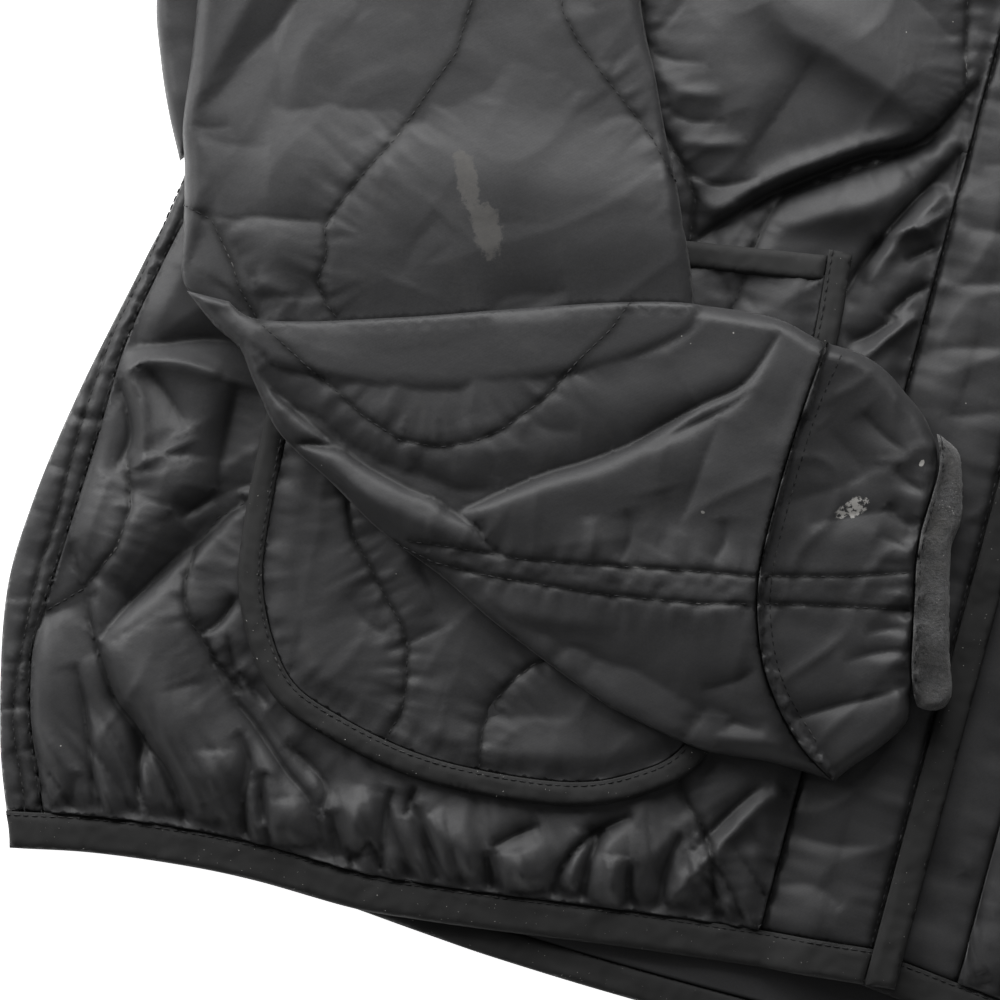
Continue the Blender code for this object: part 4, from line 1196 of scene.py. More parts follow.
def make_front_tapes(half, floor):
    """The tapes along a front's edge, hem and neck."""
    hem, neck = half.curve(FRONT_HEM), half.curve(NECK_FRONT)
    strip = half.outline(hem, half.upright(0), neck, half.upright(TAPE)[::-1])
    edge_floor = level(FRONT_FLOOR if half.mirror else LAP_FLOOR)
    edge_tape = tape_piece(f"edge_tape_{half.side}", strip, TAPE_THICK, edge_floor, 12,
                           half.upright(TAPE - 1.0))
    flank = beside(half.curve(SIDE), 0.5)
    strip = half.outline(hem, half.upright(TAPE + SEAM_GAP), beside(hem, HEM_TAPE)[::-1], flank)
    hem_tape = tape_piece(f"hem_tape_{half.side}", strip, TAPE_THICK, floor, 13, beside(hem, HEM_TAPE - 1.0))
    sew([beside(hem, HEM_TAPE - STITCH_INSET)], tape_top(floor, TAPE_THICK, 13), strip)
    shoulder = beside(half.curve(SHOULDER), 1)
    strip = half.outline(neck, shoulder, beside(neck, TAPE)[::-1], half.upright(TAPE + SEAM_GAP))
    return [edge_tape, hem_tape, tape_piece(f"neck_tape_{half.side}", strip, TAPE_THICK, floor, 14)]


def make_pocket(half):
    """A patch pocket with a tape round its sides and bottom and another along its mouth."""
    side, creases = half.side, half.creases(POCKET_CREASES)
    edge = half.curve(POCKET)
    right, left = edge[-1], edge[0]
    along = (left - right) / np.linalg.norm(left - right)
    down = np.array([-along[1], along[0]])

    def across(drop):
        """A line along the pocket's mouth, so far below it."""
        return through([right - 20 * along + drop * down, left + 20 * along + drop * down])

    inset = POCKET_TAPE + SEAM_GAP
    inner = longer(beside(edge, inset))
    border = outline(inner, across(inset))
    quilt = [half.rows(line) for line in POCKET_QUILT]
    seams, rim = Lines(quilt), Lines([closed(tidy(border))])

    def top(points, edge_away):
        padding, ripple = stitched(points, seams, seed=71, reach=8.0)
        z = SEAM_THICK + 3.4 * padding * (0.3 + 0.7 * eased(edge_away, 0, 10)) + creased(points, creases)
        z += 1.3 * ripple + 0.5 * crumpled(points, 73, 30.0)
        z += gathered(rim.find(points), reach=8.0, seed=75, pitch=7.0, height=1.0)
        return POCKET_FLOOR + softly(z, 0.9, 7.5)

    cover = looped(through(FOREARM_LOWER), through(CUFF_SEAM), through(FOREARM_UPPER))
    close = nowhere if half.mirror else in_view_outside(tidy(cover), through(UPPER_ARM))
    floor, thick = level(POCKET_FLOOR), POCKET_TOP - POCKET_FLOOR
    rows = [*rows_along(quilt, close=close), *crease_rows(creases, close)]
    panel = piece(f"pocket_panel_{side}", "nylon", f"pocket_{side}", border, top, floor, close, rows,
                  seams=seams, folds=creases)
    sew(quilt, top, border)
    strip = np.vstack([edge, beside(edge, POCKET_TAPE)[::-1]])
    binding = tape_piece(f"pocket_tape_{side}", strip, thick, floor, 15, beside(edge, POCKET_TAPE - 1.0))
    sew([beside(edge, POCKET_TAPE - STITCH_INSET)], tape_top(floor, thick, 15), strip)
    middle = len(inner) // 2
    strip = outline(across(1.5), inner[: middle + 1], across(TAPE)[::-1], inner[middle:])
    mouth_tape = tape_piece(f"mouth_tape_{side}", strip, thick, floor, 16)
    declared(panel, 165, with_pieces=[binding, mouth_tape])

# The sleeves


def pillow(radius, rim, high, free=(), sewn=()):
    """Top of a flat sleeve: its free edge lies on the ground and rounds up, and its sewn edges only dip."""
    under = ground.as_it_is()
    free_lines, sewn_lines = (Lines(lines) if len(lines) else None for lines in (free, sewn))

    def height(points, edge):
        low = under(points) + GAP + rim
        away = free_lines.find(points).away if free_lines else edge
        z = low + np.maximum(high(points, edge) - low, 3.0) * rounded(away, radius)
        if sewn_lines:
            z -= 0.1 * (1 - rounded(sewn_lines.find(points).away, 0.9)) * rounded(away, radius)
        return z

    return height


def laid_floor():
    """The underside of a piece on the ground as it is now."""
    under = ground.as_it_is()

    def floor(points):
        return under(points) + GAP

    return floor


def sleeve_base(half):
    """The level that a sleeve's own height is counted from."""
    pocket = np.array(POCKET, float) * (half.sign, 1)
    rim = Lines([closed(pocket)])

    def base(points):
        away = np.where(within(points, pocket), 0, rim.find(points).away)
        away = np.where((half.sign * points[:, 0] > -75) & (points[:, 1] < -60), 0, away)
        return FRONT_TOP + GAP + (POCKET_TOP - FRONT_TOP) * (1 - eased(away, 8, 40))

    return base


def make_lobe(half):
    """The sleeve's layer beside the body, under the layer that is folded over it."""
    up_side, up_arm = beside(through(SIDE), -0.4)[::-1], beside(through(ARMHOLE), -0.4)[::-1]
    armpit, last, first = crossing(up_side, up_arm)
    up_side, up_arm = up_side[: last + 1], up_arm[first + 1 :]
    up_side, up_arm = up_side[up_side[:, 1] > -102], up_arm[up_arm[:, 1] < 292]
    border = half.rows(np.vstack([through(UNDER_LOBE), up_side, [armpit], up_arm]))

    def top(points, edge):
        z = FRONT_TOP + 0.5 + 1.2 * noise(points, 26, 83) + 0.6 * noise(points, 11, 84)
        return 4.5 + (z - 4.5) * rounded(edge, 5)

    return piece(f"sleeve_under_{half.side}", "nylon", None, border, top, level(0))


def sinking(points):
    """How far the forearm and its cuff go down towards their lower edge."""
    return 9.5 * eased(points[:, 1] + 0.28 * points[:, 0], -232, -284)


def make_upper_arm(base, cover):
    """The right sleeve from the shoulder to the elbow, pressed where the forearm covers it."""
    lobe = make_lobe(RIGHT)
    border = through([*UPPER_ARM, UPPER_ARM[0]])[:-1]
    seams, cover_edge = Lines(SLEEVE_QUILT), Lines([closed(cover)])

    def high(points, edge):
        padding, ripple = stitched(points, seams, seed=91, reach=8.0)
        pressed = np.where(within(points, cover), 1, 1 - eased(cover_edge.find(points).away, -10, 26))
        z = sidebar("arm_loft") - 1.9 * (1 - padding) * eased(edge, 1, 9) - 4.2 * pressed
        folds = creased(points, ARM_CREASES) + 0.4 * crumpled(points, 93, 42.0) + 0.9 * ripple
        z += folds * eased(edge, 0, 7)
        return base(points) + np.clip(z, 1.5, None)

    top, floor = pillow(6.5, 2.0, high), laid_floor()
    rows = [*rows_along(SLEEVE_QUILT), *crease_rows(ARM_CREASES)]
    arm = piece("sleeve_upper_right", "nylon", "sleeve_right", border, top, floor, in_view_outside(cover), rows,
                border_inside(border, 9.0), seams, ARM_CREASES)
    sew(SLEEVE_QUILT, top, border)
    return arm, lobe


def make_bent_sleeve():
    """The wearer's right sleeve: down from the shoulder, folded across the front at the elbow, and its cuff."""
    base = sleeve_base(RIGHT)
    seam, end = through(CUFF_SEAM), through(CUFF_END)
    border = tidy(looped(through(FOREARM_LOWER), beside(seam, SEAM_GAP), through(FOREARM_UPPER)))
    arm, lobe = make_upper_arm(base, border)
    quilting, double = Lines(FOREARM_QUILT), Lines(FOREARM_SEAM)
    seam_line, end_line, upper_line = Lines([seam]), Lines([end]), Lines([through(FOREARM_UPPER)])

    def fore_high(points, edge):
        padding, ripple = stitched(points, quilting, seed=95, reach=7.0)
        sewn, joint = double.find(points), seam_line.find(points)
        z = 1.5 + sidebar("forearm_loft") - 2.2 * (1 - padding) * eased(edge, 1, 9) * eased(joint.away, 0, 14)
        z -= 0.9 * bell(sewn.away, 1.2, 1.5)
        z -= 2.6 * (1 - eased(upper_line.find(points).away, 0, 44)) * eased(joint.away, 0, 30)
        z += gathered(sewn, reach=6.0, seed=97, pitch=6.0, height=1.3)
        z += gathered(joint, reach=6.0, seed=98, pitch=9.0, height=0.5) + 1.1 * ripple
        z += (creased(points, FOREARM_CREASES) + 0.7 * crumpled(points, 99, 38.0)) * eased(edge, 0, 6)
        return base(points) + softly(z - sinking(points), 2.5, 30.0)

    free = [through(rows) for rows in (FOREARM_LOWER, FOREARM_UPPER, CUFF_LOWER, CUFF_UPPER)]
    top, floor = pillow(6.0, 2.8, fore_high, free, [seam]), laid_floor()
    stitching = [*FOREARM_QUILT, *FOREARM_SEAM]
    rows = [*rows_along(stitching), *crease_rows(FOREARM_CREASES)]
    forearm = piece("sleeve_forearm_right", "nylon", "sleeve_right", border, top, floor, in_view, rows,
                    border_inside(border, 9.0), Lines([*stitching, seam]), FOREARM_CREASES)
    sew(stitching, top, border)
    lower, upper = through(CUFF_LOWER), through(CUFF_UPPER)
    border = looped(beside(seam[::-1], SEAM_GAP), lower, beside(end, SEAM_GAP), upper)
    rows_line = Lines(CUFF_SEAM_ROWS)

    def cuff_high(points, edge):
        sewn, hem, joint = rows_line.find(points), end_line.find(points), seam_line.find(points)
        z = 1.5 + sidebar("forearm_loft") - 2.7 * eased(joint.away, 2, 45) - 0.7 * bell(sewn.away, 1.2, 1.5)
        z += gathered(hem, reach=8.0, seed=101, pitch=7.5, height=3.4)
        z += gathered(sewn, reach=6.0, seed=102, pitch=8.0, height=0.7) - 1.2 * bell(hem.away, 2.5)
        z += (creased(points, CUFF_CREASES) + crumpled(points, 103, 30.0)) * eased(edge, 0, 4)
        return base(points) + softly(z - sinking(points), 2.2, 30.0)

    def ring_high(points, edge):
        z = base(points) + sidebar("cuff_loft") + 4.4 + 0.8 * noise(points, 12, 105)
        z += gathered(end_line.find(points), reach=5.0, seed=106, pitch=9.0, height=0.8)
        return z - 2.5 * eased(-points[:, 1], 185, 222)

    top = pillow(6.0, 2.8, cuff_high, free, [seam, end])
    rows = [*rows_along(CUFF_SEAM_ROWS), *crease_rows(CUFF_CREASES)]
    cuff = piece("cuff_panel_right", "nylon", "cuff_right", border, top, floor, in_view, rows,
                 border_inside(border, 7.0), Lines([*CUFF_SEAM_ROWS, seam, end]), CUFF_CREASES)
    sew([*CUFF_SEAM_ROWS, through(CUFF_TOPSTITCH)], top, border)
    border = looped(beside(end[::-1], SEAM_GAP), through(RING_OUTER)[::-1])
    top = pillow(3.2, 2.0, ring_high, [through(RING_OUTER)])
    # The ring's tape is the paler copy: partly its wear, partly painted light that lifts it
    ring = piece("cuff_tape_right", "worn_tape", "cuff_binding_right", border, top, floor,
                 space=border_inside(border, 2.5))
    sew([beside(end, -1.4)], top, border)
    declared(arm, 240, [lobe])
    declared(forearm, 230)
    declared(cuff, 210, [ring])


def make_straight_sleeve():
    """The wearer's left sleeve, folded down over the front and nearly straight, and its cuff."""
    base = sleeve_base(LEFT)
    lobe = make_lobe(LEFT)
    outer, seam, inner, end = (
        LEFT.curve(rows) for rows in (STRAIGHT_OUTER, STRAIGHT_SEAM, STRAIGHT_INNER, STRAIGHT_CUFF_END)
    )
    quilt, seam_rows = ([LEFT.curve(line) for line in table] for table in (STRAIGHT_QUILT, STRAIGHT_SEAM_ROWS))
    creases = LEFT.creases(ARM_CREASES)
    border = looped(inner, beside(seam, GAP / 2), outer, np.array([outer[-1], inner[0]]))
    seams, double, seam_line, end_line = Lines(quilt), Lines(seam_rows), Lines([seam]), Lines([end])

    def arm_high(points, edge):
        padding, ripple = stitched(points, seams, seed=111, reach=8.0)
        sewn = double.find(points)
        z = sidebar("arm_loft") - 3.2 * (1 - padding) * eased(edge, 1, 9)
        z -= 1.4 * bell(sewn.away, 1.5) + 1.2 * bell(seam_line.find(points).away, 2)
        z += (creased(points, creases) + 1.3 * crumpled(points, 113, 42.0) + ripple) * eased(edge, 0, 7)
        z += gathered(sewn, reach=7.0, seed=114, pitch=7.0, height=1.0)
        return base(points) + np.clip(z, 2.0, None)

    def cuff_high(points, edge):
        ripple = gathered(end_line.find(points), reach=9.0, seed=121, pitch=7.5, height=2.0)
        z = sidebar("cuff_loft") + 0.6 + ripple
        z -= 1.0 * bell(seam_line.find(points).away, 2)
        return base(points) + np.clip(z + crumpled(points, 123, 30.0) * eased(edge, 0, 4), 2.0, None)

    def ring_high(points, edge):
        return base(points) + sidebar("cuff_loft") + 0.6 + 0.5 * noise(points, 12, 125)

    top, floor = pillow(8.0, 1.2, arm_high), laid_floor()
    rows = rows_along(quilt, close=nowhere)
    sleeve = piece("sleeve_left_panel", "nylon", "sleeve_left", border, top, floor, nowhere, rows,
                   border_inside(border, 9.0))
    sew([*quilt, *seam_rows], top, border)
    inside, outside = LEFT.curve(STRAIGHT_CUFF_INNER), LEFT.curve(STRAIGHT_CUFF_OUTER)
    border = looped(inside, beside(end, GAP / 2), outside, beside(seam[::-1], GAP / 2))
    cuff = piece("cuff_panel_left", "nylon", "cuff_left", border, pillow(7.0, 1.2, cuff_high), floor, nowhere,
                 space=border_inside(border, 7.0))
    near, far = beside(end, -SEAM_GAP / 2), beside(end, -TAPE)
    border = looped(near[::-1], np.array([near[0], far[0]]), far, np.array([far[-1], near[-1]]))
    ring = piece("cuff_tape_left", "tape", "cuff_binding_left", border, pillow(4.5, 1.0, ring_high), floor,
                 nowhere, space=border_inside(border, 2.5))
    declared(sleeve, 240, [lobe])
    declared(cuff, 200, [ring])


# Nodes


class Nodes:
    """A node tree, with one way to add to it."""

    def __init__(self, tree):
        self.tree = tree

    def feed(self, socket, value):
        """Link a socket to what feeds it, or set the socket's own value."""
        value = value.socket if isinstance(value, Wire) else value
        if isinstance(value, bpy.types.NodeSocket):
            self.tree.links.new(value, socket)
        else:
            socket.default_value = value

    def node(self, kind, sockets=None, **settings):
        """Add a node: its settings first, then the values or links of its sockets."""
        made = self.tree.nodes.new(kind)
        for name, value in settings.items():
            setattr(made, name, value)
        for name, value in (sockets or {}).items():
            self.feed(made.inputs[name], value)
        return made


# Stitches and lint by Geometry Nodes


class Growth(Nodes):
    """A Geometry Nodes tree that lays a shape along or over a mesh."""

    def __init__(self, name, **inputs):
        super().__init__(bpy.data.node_groups.new(name, "GeometryNodeTree"))
        sockets = self.tree.interface
        for way in ("INPUT", "OUTPUT"):
            sockets.new_socket("Geometry", in_out=way, socket_type="NodeSocketGeometry")
        for label, kind in inputs.items():
            sockets.new_socket(label, in_out="INPUT", socket_type=f"NodeSocket{kind}")
        self.start = self.tree.nodes.new("NodeGroupInput").outputs
        self.end = self.tree.nodes.new("NodeGroupOutput").inputs

    def uneven(self, low, high):
        """A random vector for each instance."""
        sockets = {0: low, 1: high, "Seed": self.start["Seed"]}
        return self.node("FunctionNodeRandomValue", sockets, data_type="FLOAT_VECTOR").outputs[0]

    def finished(self, geometry, finish):
        """The tree, once its instances are made real and have their finish."""
        real = self.node("GeometryNodeRealizeInstances", {"Geometry": geometry})
        sockets = {"Geometry": real.outputs[0], "Material": bpy.data.materials[finish]}
        dressed = self.node("GeometryNodeSetMaterial", sockets)
        self.feed(self.end[0], dressed.outputs[0])
        return self.tree


def stitch_tree():
    """Stitches: short rounded rods along every line of a mesh of edges."""
    tree = Growth("Stitches", Pitch="Float", Length="Float", Radius="Float", Seed="Int")
    start = tree.start
    curve = tree.node("GeometryNodeMeshToCurve", {"Mesh": start["Geometry"]})
    sockets = {"Curve": curve.outputs[0], "Length": start["Pitch"]}
    points = tree.node("GeometryNodeCurveToPoints", sockets, mode="LENGTH").outputs
    rod = tree.node("GeometryNodeMeshUVSphere", {"Segments": 6, "Rings": 5, "Radius": 1.0})
    half = tree.node("ShaderNodeMath", {0: start["Length"], 1: 0.5}, operation="MULTIPLY")
    radius = start["Radius"]
    shape = tree.node("ShaderNodeCombineXYZ", {"X": radius, "Y": radius, "Z": half.outputs[0]})
    sockets = {0: shape.outputs[0], 1: tree.uneven((0.8, 0.8, 0.75), (1.25, 1.2, 1.15))}
    size = tree.node("ShaderNodeVectorMath", sockets, operation="MULTIPLY")
    aim = tree.node("FunctionNodeAlignRotationToVector", {"Vector": points["Tangent"]}, axis="Z")
    sockets = {"Points": points["Points"], "Instance": rod.outputs["Mesh"], "Rotation": aim.outputs[0],
               "Scale": size.outputs[0]}
    rods = tree.node("GeometryNodeInstanceOnPoints", sockets)
    smooth = tree.node("GeometryNodeSetShadeSmooth", {"Geometry": rods.outputs[0]})
    return tree.finished(smooth.outputs[0], "thread")


def lint_tree():
    """Lint: small bent fibres scattered over a surface."""
    tree = Growth("Lint", Density="Float", Seed="Int")
    start = tree.start
    sockets = {"Mesh": start["Geometry"], "Density": start["Density"], "Seed": start["Seed"]}
    spread = tree.node("GeometryNodeDistributePointsOnFaces", sockets)
    fibre = tree.node("GeometryNodeMeshUVSphere", {"Segments": 5, "Rings": 3, "Radius": 1.0})
    sockets = {"Points": spread.outputs["Points"], "Instance": fibre.outputs["Mesh"],
               "Scale": tree.uneven((5e-5, 5e-5, 3e-5), (4.2e-4, 1.8e-4, 9e-5)),
               "Rotation": tree.uneven((0, 0, 0), (0.3, 0.3, 6.28))}
    fibres = tree.node("GeometryNodeInstanceOnPoints", sockets)
    return tree.finished(fibres.outputs[0], "lint")


def grown(name, mesh, group, values):
    """A mesh made by a tree of nodes on another mesh."""
    obj = linked(name, mesh)
    modifier = obj.modifiers.new("nodes", "NODES")
    modifier.node_group = group
    sockets = {s.name: s.identifier for s in group.interface.items_tree if s.in_out == "INPUT"}
    for label, value in values.items():
        modifier[sockets[label]] = value
    bpy.context.view_layer.update()
    made = bpy.data.meshes.new_from_object(obj.evaluated_get(bpy.context.evaluated_depsgraph_get()))
    obj.modifiers.clear()
    obj.data = made
    return placed(obj, None)


def line_mesh(routes):
    """A mesh of edges along routes of x, y, z."""
    places, edges = [], []
    for route in routes:
        first = len(places)
        places += (MM * route).tolist()
        edges += [(first + k, first + k + 1) for k in range(len(route) - 1)]
    mesh = bpy.data.meshes.new("routes")
    mesh.from_pydata(places, edges, [])
    return mesh


def shown_stretches(route):
    """The stretches of a route that no later layer covers."""
    shown = [*(ground.read(route[:, :2], ground.height) < route[:, 2] + COVER), False]
    stretches, start = [], None
    for k, seen in enumerate(shown):
        if seen and start is None:
            start = k
        if not seen and start is not None:
            if k - start > 4:
                stretches.append(route[start:k])
            start = None
    return stretches


def make_stitches():
    """The thread of every row of stitching that shows."""
    thread = bpy.context.scene.liner_thread
    routes = [s - (0, 0, THREAD_SINK) for route in STITCH_ROUTES for s in shown_stretches(route)]
    values = {"Pitch": thread.pitch, "Length": thread.length, "Radius": thread.radius, "Seed": 5}
    grown("stitching", line_mesh(routes), stitch_tree(), values)


def make_lint():
    """Pale fibres on the tapes that the camera sees."""
    group, density = lint_tree(), bpy.context.scene.liner_thread.lint
    for name in ("hem_tape_right", "pocket_tape_right", "cuff_tape_right", "edge_tape_right", "hem_tape_back"):
        grown(f"lint_{name}", bpy.data.objects[name].data.copy(), group, {"Density": density, "Seed": 9})


# Finishes: the scale of a noise is in bumps a metre, and its detail and roughness follow


class Wire:
    """A socket of a material that takes part in arithmetic: each operation adds a Math node."""

    def __init__(self, finish, socket):
        self.finish, self.socket = finish, socket

    def _math(self, operation, *values):
        return self.finish.output("ShaderNodeMath", dict(enumerate(values)), operation=operation)

    def __add__(self, other):
        return self._math("ADD", self, other)

    def __radd__(self, other):
        return self._math("ADD", other, self)

    def __sub__(self, other):
        return self._math("SUBTRACT", self, other)

    def __rsub__(self, other):
        return self._math("SUBTRACT", other, self)

    def __mul__(self, other):
        return self._math("MULTIPLY", self, other)

    def __rmul__(self, other):
        return self._math("MULTIPLY", other, self)

    def __truediv__(self, other):
        return self._math("DIVIDE", self, other)

    def __rtruediv__(self, other):
        return self._math("DIVIDE", other, self)

    def __pow__(self, other):
        return self._math("POWER", self, other)

    def clipped(self):
        """The value kept from 0 to 1."""
        return self.finish.output("ShaderNodeClamp", {"Value": self})

    def step(self, low, high):
        """0 at low and 1 at high."""
        return ((self - low) / (high - low)).clipped()


class Finish(Nodes):
    """A material, with short ways to add what its colours and bumps are made of."""

    def __init__(self, name):
        material = bpy.data.materials.new(name)
        material.use_nodes = True
        super().__init__(material.node_tree)
        self.shader = self.tree.nodes["Principled BSDF"]
        self.place = self.output("ShaderNodeTexCoord", output="Object")

    def output(self, kind, sockets=None, output=0, **settings):
        """One output of a new node."""
        return Wire(self, self.node(kind, sockets, **settings).outputs[output])

    def noise(self, scale, detail=2.0, roughness=0.5):
        """Even noise over the cloth."""
        sockets = {"Vector": self.place, "Scale": scale, "Detail": detail, "Roughness": roughness}
        return self.output("ShaderNodeTexNoise", sockets)

    def specks(self, scale, low, high):
        """Small dots, 1 within low of their middles and 0 beyond high."""
        sockets = {"Vector": self.place, "Scale": scale}
        return 1 - self.output("ShaderNodeTexVoronoi", sockets, "Distance", feature="F1").step(low, high)

    def sewn(self):
        """How deep in a seam or narrow fold the cloth lies, which the nylon shows as painted shade and the tape
        as its line of dust.
        """
        return self.output("ShaderNodeAttribute", output="Fac", attribute_name="sewn")

    def mix(self, share, a, b):
        """One colour or the other."""
        a, b = ((*c, 1.0) if isinstance(c, tuple) and len(c) == 3 else c for c in (a, b))
        return self.output("ShaderNodeMix", {0: share, 6: a, 7: b}, 2, data_type="RGBA")

    def bump(self, height, distance, strength=1.0, normal=None):
        """A normal that follows a height."""
        sockets = {"Height": height, "Distance": distance, "Strength": strength}
        if normal:
            sockets["Normal"] = normal
        return self.output("ShaderNodeBump", sockets)

    def around(self, x, y, length, width, turn):
        """1 in the middle of a mark and 0 outside it: its place and half sizes in millimetres."""
        sockets = {"Vector": self.place, "Location": (-x * MM, -y * MM, 0)}
        moved = self.output("ShaderNodeMapping", sockets)
        sockets = {"Vector": moved, "Rotation": (0, 0, math.radians(-turn)), "Scale": (1.0, 1.0, 0.0)}
        turned_place = self.output("ShaderNodeMapping", sockets)
        sockets = {0: turned_place, 1: (1 / (length * MM), 1 / (width * MM), 0.0)}
        scaled = self.output("ShaderNodeVectorMath", sockets, operation="MULTIPLY")
        return 1 - self.output("ShaderNodeVectorMath", {0: scaled}, "Value", operation="LENGTH")

    def set(self, **values):
        """Set or link sockets of the shader."""
        for name, value in values.items():
            self.feed(self.shader.inputs[name.replace("_", " ")], value)


def colour(name, share=1.0):
    """A colour of the sidebar's, so many times as bright."""
    return tuple(share * c for c in getattr(bpy.context.scene.liner_finish, name))


def make_nylon():
    """Dull smooth nylon with a fine rib, painted shade in its seams and narrow folds, faint dusty patches and
    worn marks.
    """
    finish = Finish("nylon")
    cloudy, fine = finish.noise(26.0, 4.0, 0.6), finish.noise(1400.0, 2.0, 0.6)
    shade = finish.mix(cloudy.step(0.3, 0.7), colour("nylon", 0.9), colour("nylon", 1.1))
    shade = finish.mix(finish.noise(90.0, 6.0, 0.72).step(0.56, 0.74) * 0.16, shade, NYLON_DUST)
    grain = finish.noise(1350.0, 3.0, 0.75).step(0.32, 0.68)
    shade = finish.mix(grain * 0.5, shade, colour("nylon", 1.6))
    # Painted shade: the nylon darkened in its seams and in the bottoms of its narrow folds
    seam = (finish.sewn() * (0.5 + finish.noise(420.0, 3.0, 0.7) * 0.8)).clipped()
    shade = finish.mix(seam, shade, colour("nylon", 0.22))
    ragged = finish.noise(150.0, 3.0, 0.6) * 0.7 + finish.noise(420.0, 5.0, 0.75) * 0.8
    marks = {name: (finish.around(*mark) * 0.8 + ragged - 0.88).step(0.0, 0.12) for name, mark in MARKS.items()}
    worn = (marks["arm scuff"] + marks["arm scuff end"]).clipped()
    torn = marks["cuff scuff"] * finish.noise(420.0, 4.0, 0.75).step(0.45, 0.52)
    specks = finish.specks(105.0, 0.02, 0.035) * finish.noise(37.0, 1.0).step(0.58, 0.62)
    pale = (torn + marks["cuff spot"] + marks["forearm spot"] * 0.5 + specks).clipped()
    shade = finish.mix(worn * (0.5 + finish.noise(520.0, 3.0, 0.7) * 0.6), shade, colour("scuff"))
    shade = finish.mix(pale, shade, colour("dust"))
    sockets = {"Vector": finish.place, "Scale": 620.0, "Distortion": 1.2, "Detail": 1.0}
    rib = finish.output("ShaderNodeTexWave", sockets, wave_type="BANDS", bands_direction="Y")
    dents = finish.noise(240.0, 5.0, 0.62) * 0.5 + finish.noise(70.0, 3.0, 0.55) * 2.0
    normal = finish.bump(dents, 0.0004, 0.35, finish.bump(rib * 0.25 + fine * 0.3, 0.00006, 0.5))
    rough = 0.47 + cloudy * 0.08 + fine * 0.05 + (worn + pale).clipped() * 0.3
    finish.set(Base_Color=shade, Roughness=rough, Normal=normal)
    finish.set(Sheen_Weight=0.05, Sheen_Roughness=0.4, Specular_IOR_Level=0.42)


def make_tape(name="tape", wear_and_light=1.0):
    """Matt tape with a short nap and caught lint, made paler by a factor that stands both for wear and for
    painted light that lifts a shaded tape.
    """
    finish = Finish(name)
    nap, cloudy, sewn = finish.noise(900.0, 5.0, 0.75), finish.noise(110.0, 5.0, 0.65), finish.sewn()
    shade = finish.mix(nap.step(0.3, 0.75), colour("tape", 0.55 * wear_and_light), colour("tape", 1.8 * wear_and_light))
    shade = finish.mix(cloudy.step(0.42, 0.68) * 0.5, shade, TAPE_DUST)
    shade = finish.mix(sewn**0.35 * ((cloudy + nap).step(0.98, 1.25) * 0.8), shade, (0.2, 0.19, 0.17))
    pale = finish.specks(900.0, 0.12, 0.26) * (finish.noise(160.0, 3.0) + sewn * 0.2).step(0.60, 0.66)
    shade = finish.mix(pale * 0.7, shade, colour("dust"))
    normal = finish.bump(nap + finish.noise(2600.0, 2.0, 0.6) * 0.5 + cloudy * 2.5, 0.0007, 0.9)
    finish.set(Base_Color=shade, Roughness=0.9, Normal=normal)
    finish.set(Sheen_Weight=0.3, Sheen_Roughness=0.5, Specular_IOR_Level=0.25)


def make_thread():
    """Dull spun thread."""
    finish = Finish("thread")
    shade = finish.mix(finish.noise(3000.0, 2.0), colour("thread", 0.7), colour("thread", 1.4))
    worn = finish.noise(60.0, 3.0).step(0.60, 0.72) * 0.5
    finish.set(Base_Color=finish.mix(worn, shade, PALE_THREAD), Roughness=0.7)


def make_lint_finish():
    """Pale dust and lint."""
    finish = Finish("lint")
    shade = finish.mix(finish.noise(4000.0, 1.0).step(0.4, 0.6), PALE_THREAD, colour("dust"))
    finish.set(Base_Color=shade, Roughness=0.95)


def make_floor_finish():
    """A floor that stays white under its own light."""
    finish = Finish("floor")
    finish.set(Base_Color=(0.9, 0.9, 0.9, 1.0), Roughness=0.8)
    finish.set(Emission_Color=(1, 1, 1, 1), Emission_Strength=1.0)


# The stage


def area_light(name, place, target, size, power):
    """A square light that faces its target."""
    data = bpy.data.lights.new(name, "AREA")
    data.size, data.energy = size, power
    light = linked(name, data)
    light.location = place
    light.rotation_euler = (target - place).to_track_quat("-Z", "Y").to_euler()


def make_stage():
    """A pale floor, soft lights at the left and beyond the top, and the camera straight above."""
    scene = bpy.context.scene
    stage = scene.liner_stage
    mesh = bpy.data.meshes.new("floor")
    corners = [(x * FLOOR_REACH, y * FLOOR_REACH, -FLOOR_DROP) for x, y in ((-1, -1), (1, -1), (1, 1), (-1, 1))]
    mesh.from_pydata(corners, [], [(0, 1, 2, 3)])
    mesh.materials.append(bpy.data.materials["floor"])
    linked("floor", mesh)
    middle = Vector(VIEW_MIDDLE)
    right = Vector((math.cos(stage.turn), math.sin(stage.turn), 0))
    up = Vector((-math.sin(stage.turn), math.cos(stage.turn), 0))
    lights = (("side_light", SIDE_LIGHT, stage.side_light), ("top_light", TOP_LIGHT, stage.top_light))
    for name, (across, along, above, size), power in lights:
        place = middle + across * right + along * up + Vector((0, 0, above))
        area_light(name, place, middle, size, power)
    data = bpy.data.cameras.new("camera")
    data.lens, data.sensor_width = stage.lens, SENSOR
    camera = linked("camera", data)
    camera.location = middle + Vector((0, 0, stage.view_width * stage.lens / SENSOR))
    camera.rotation_euler = (0, 0, stage.turn)
    scene.camera = camera
    scene.world = bpy.data.worlds.new("room")
    scene.world.use_nodes = True
    room = scene.world.node_tree.nodes["Background"].inputs
    room["Color"].default_value, room["Strength"].default_value = (1, 1, 1, 1), stage.fill
    scene.view_settings.view_transform = "Standard"


# Operators and the sidebar


class LINER_OT_finishes(bpy.types.Operator):
    """Make the nylon, tape, thread, lint and floor finishes."""

    bl_idname = "liner.finishes"
    bl_label = "Finishes"

    def execute(self, context):
        make_nylon()
        make_tape()
        make_thread()
        make_lint_finish()
        make_floor_finish()
        # A paler tape for the cuff ring: partly its wear, partly painted light
        make_tape("worn_tape", wear_and_light=1.2)
        return {"FINISHED"}


class LINER_OT_back(bpy.types.Operator):
    """Dress the back and its tapes."""

    bl_idname = "liner.back"
    bl_label = "Back"

    def execute(self, context):
        make_back()
        return {"FINISHED"}


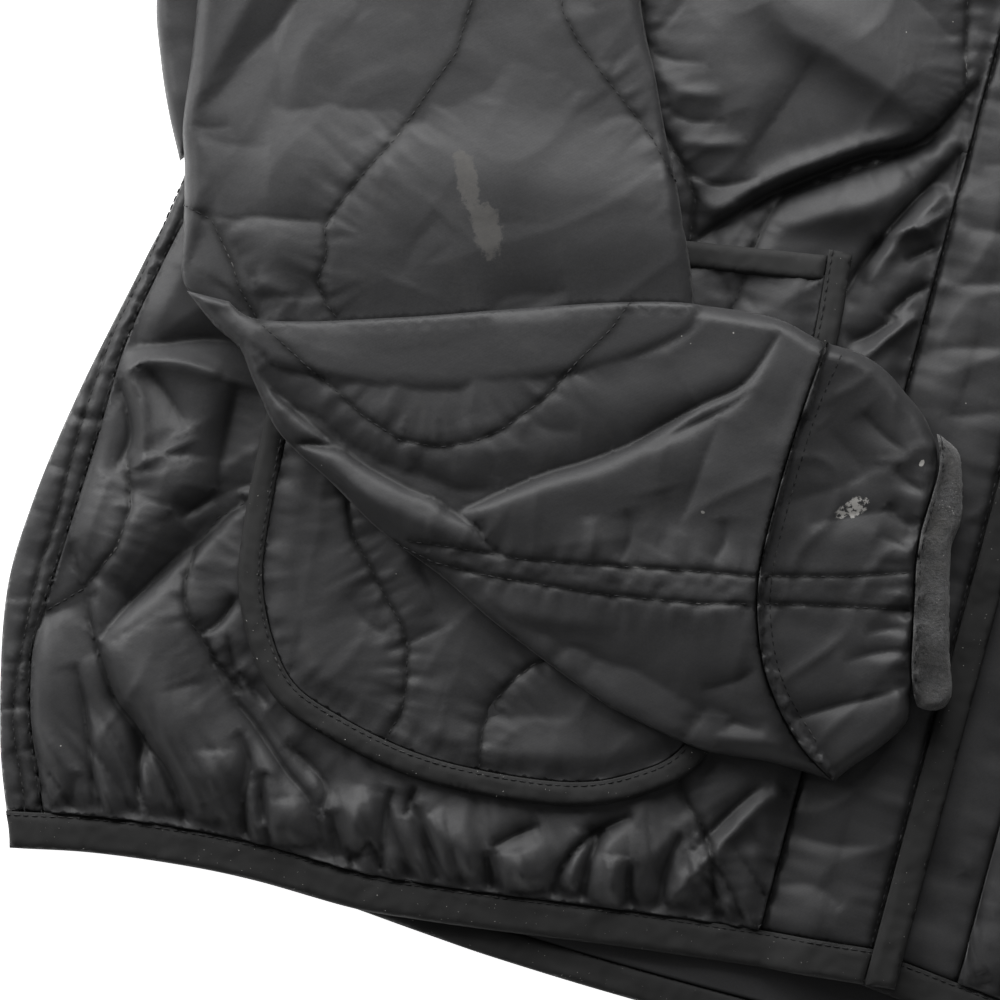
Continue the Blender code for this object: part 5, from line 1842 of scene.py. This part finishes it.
class LINER_OT_fronts(bpy.types.Operator):
    """Dress both fronts, their bands and tapes."""

    bl_idname = "liner.fronts"
    bl_label = "Fronts"

    def execute(self, context):
        for half in (LEFT, RIGHT):
            make_front(half)
        return {"FINISHED"}


class LINER_OT_pockets(bpy.types.Operator):
    """Dress both pockets."""

    bl_idname = "liner.pockets"
    bl_label = "Pockets"

    def execute(self, context):
        for half in (LEFT, RIGHT):
            make_pocket(half)
        return {"FINISHED"}


class LINER_OT_straight_sleeve(bpy.types.Operator):
    """Dress the wearer's left sleeve and cuff."""

    bl_idname = "liner.straight_sleeve"
    bl_label = "Left sleeve"

    def execute(self, context):
        make_straight_sleeve()
        return {"FINISHED"}


class LINER_OT_bent_sleeve(bpy.types.Operator):
    """Dress the wearer's right sleeve and cuff."""

    bl_idname = "liner.bent_sleeve"
    bl_label = "Right sleeve"

    def execute(self, context):
        make_bent_sleeve()
        return {"FINISHED"}


class LINER_OT_stitches(bpy.types.Operator):
    """Lay the thread of every row of stitching that shows."""

    bl_idname = "liner.stitches"
    bl_label = "Stitching"

    def execute(self, context):
        make_stitches()
        return {"FINISHED"}


class LINER_OT_lint(bpy.types.Operator):
    """Scatter lint over the tapes."""

    bl_idname = "liner.lint"
    bl_label = "Lint"

    def execute(self, context):
        make_lint()
        return {"FINISHED"}


class LINER_OT_stage(bpy.types.Operator):
    """Set the floor, the lights and the camera."""

    bl_idname = "liner.stage"
    bl_label = "Stage"

    def execute(self, context):
        make_stage()
        return {"FINISHED"}


OPERATORS = [
    LINER_OT_finishes, LINER_OT_back, LINER_OT_fronts, LINER_OT_pockets, LINER_OT_straight_sleeve,
    LINER_OT_bent_sleeve, LINER_OT_stitches, LINER_OT_lint, LINER_OT_stage,
]
GROUPS = {
    "liner_cloth": LinerCloth,
    "liner_thread": LinerThread,
    "liner_finish": LinerFinish,
    "liner_stage": LinerStage,
}


class LINER_PT_panel(bpy.types.Panel):
    """The sizes, the colours and the steps in order."""

    bl_idname = "LINER_PT_panel"
    bl_label = "Liner jacket"
    bl_space_type = "VIEW_3D"
    bl_region_type = "UI"
    bl_category = "Liner jacket"

    def draw(self, context):
        for name, kind in GROUPS.items():
            box = self.layout.box()
            for size in kind.__annotations__:
                box.prop(getattr(context.scene, name), size)
        for kind in OPERATORS:
            self.layout.operator(kind.bl_idname)


CLASSES = [*GROUPS.values(), *OPERATORS, LINER_PT_panel]


def register():
    """Add the classes, and the scene's groups of sizes."""
    for kind in CLASSES:
        bpy.utils.register_class(kind)
    for name, kind in GROUPS.items():
        setattr(bpy.types.Scene, name, bpy.props.PointerProperty(type=kind))


def unregister():
    """Take the groups and classes away again."""
    for name in GROUPS:
        delattr(bpy.types.Scene, name)
    for kind in reversed(CLASSES):
        bpy.utils.unregister_class(kind)


def main():
    """Dress the jacket in order."""
    register()
    for kind in OPERATORS:
        getattr(bpy.ops.liner, kind.bl_idname.split(".")[1])()


if __name__ == "__main__":
    main()
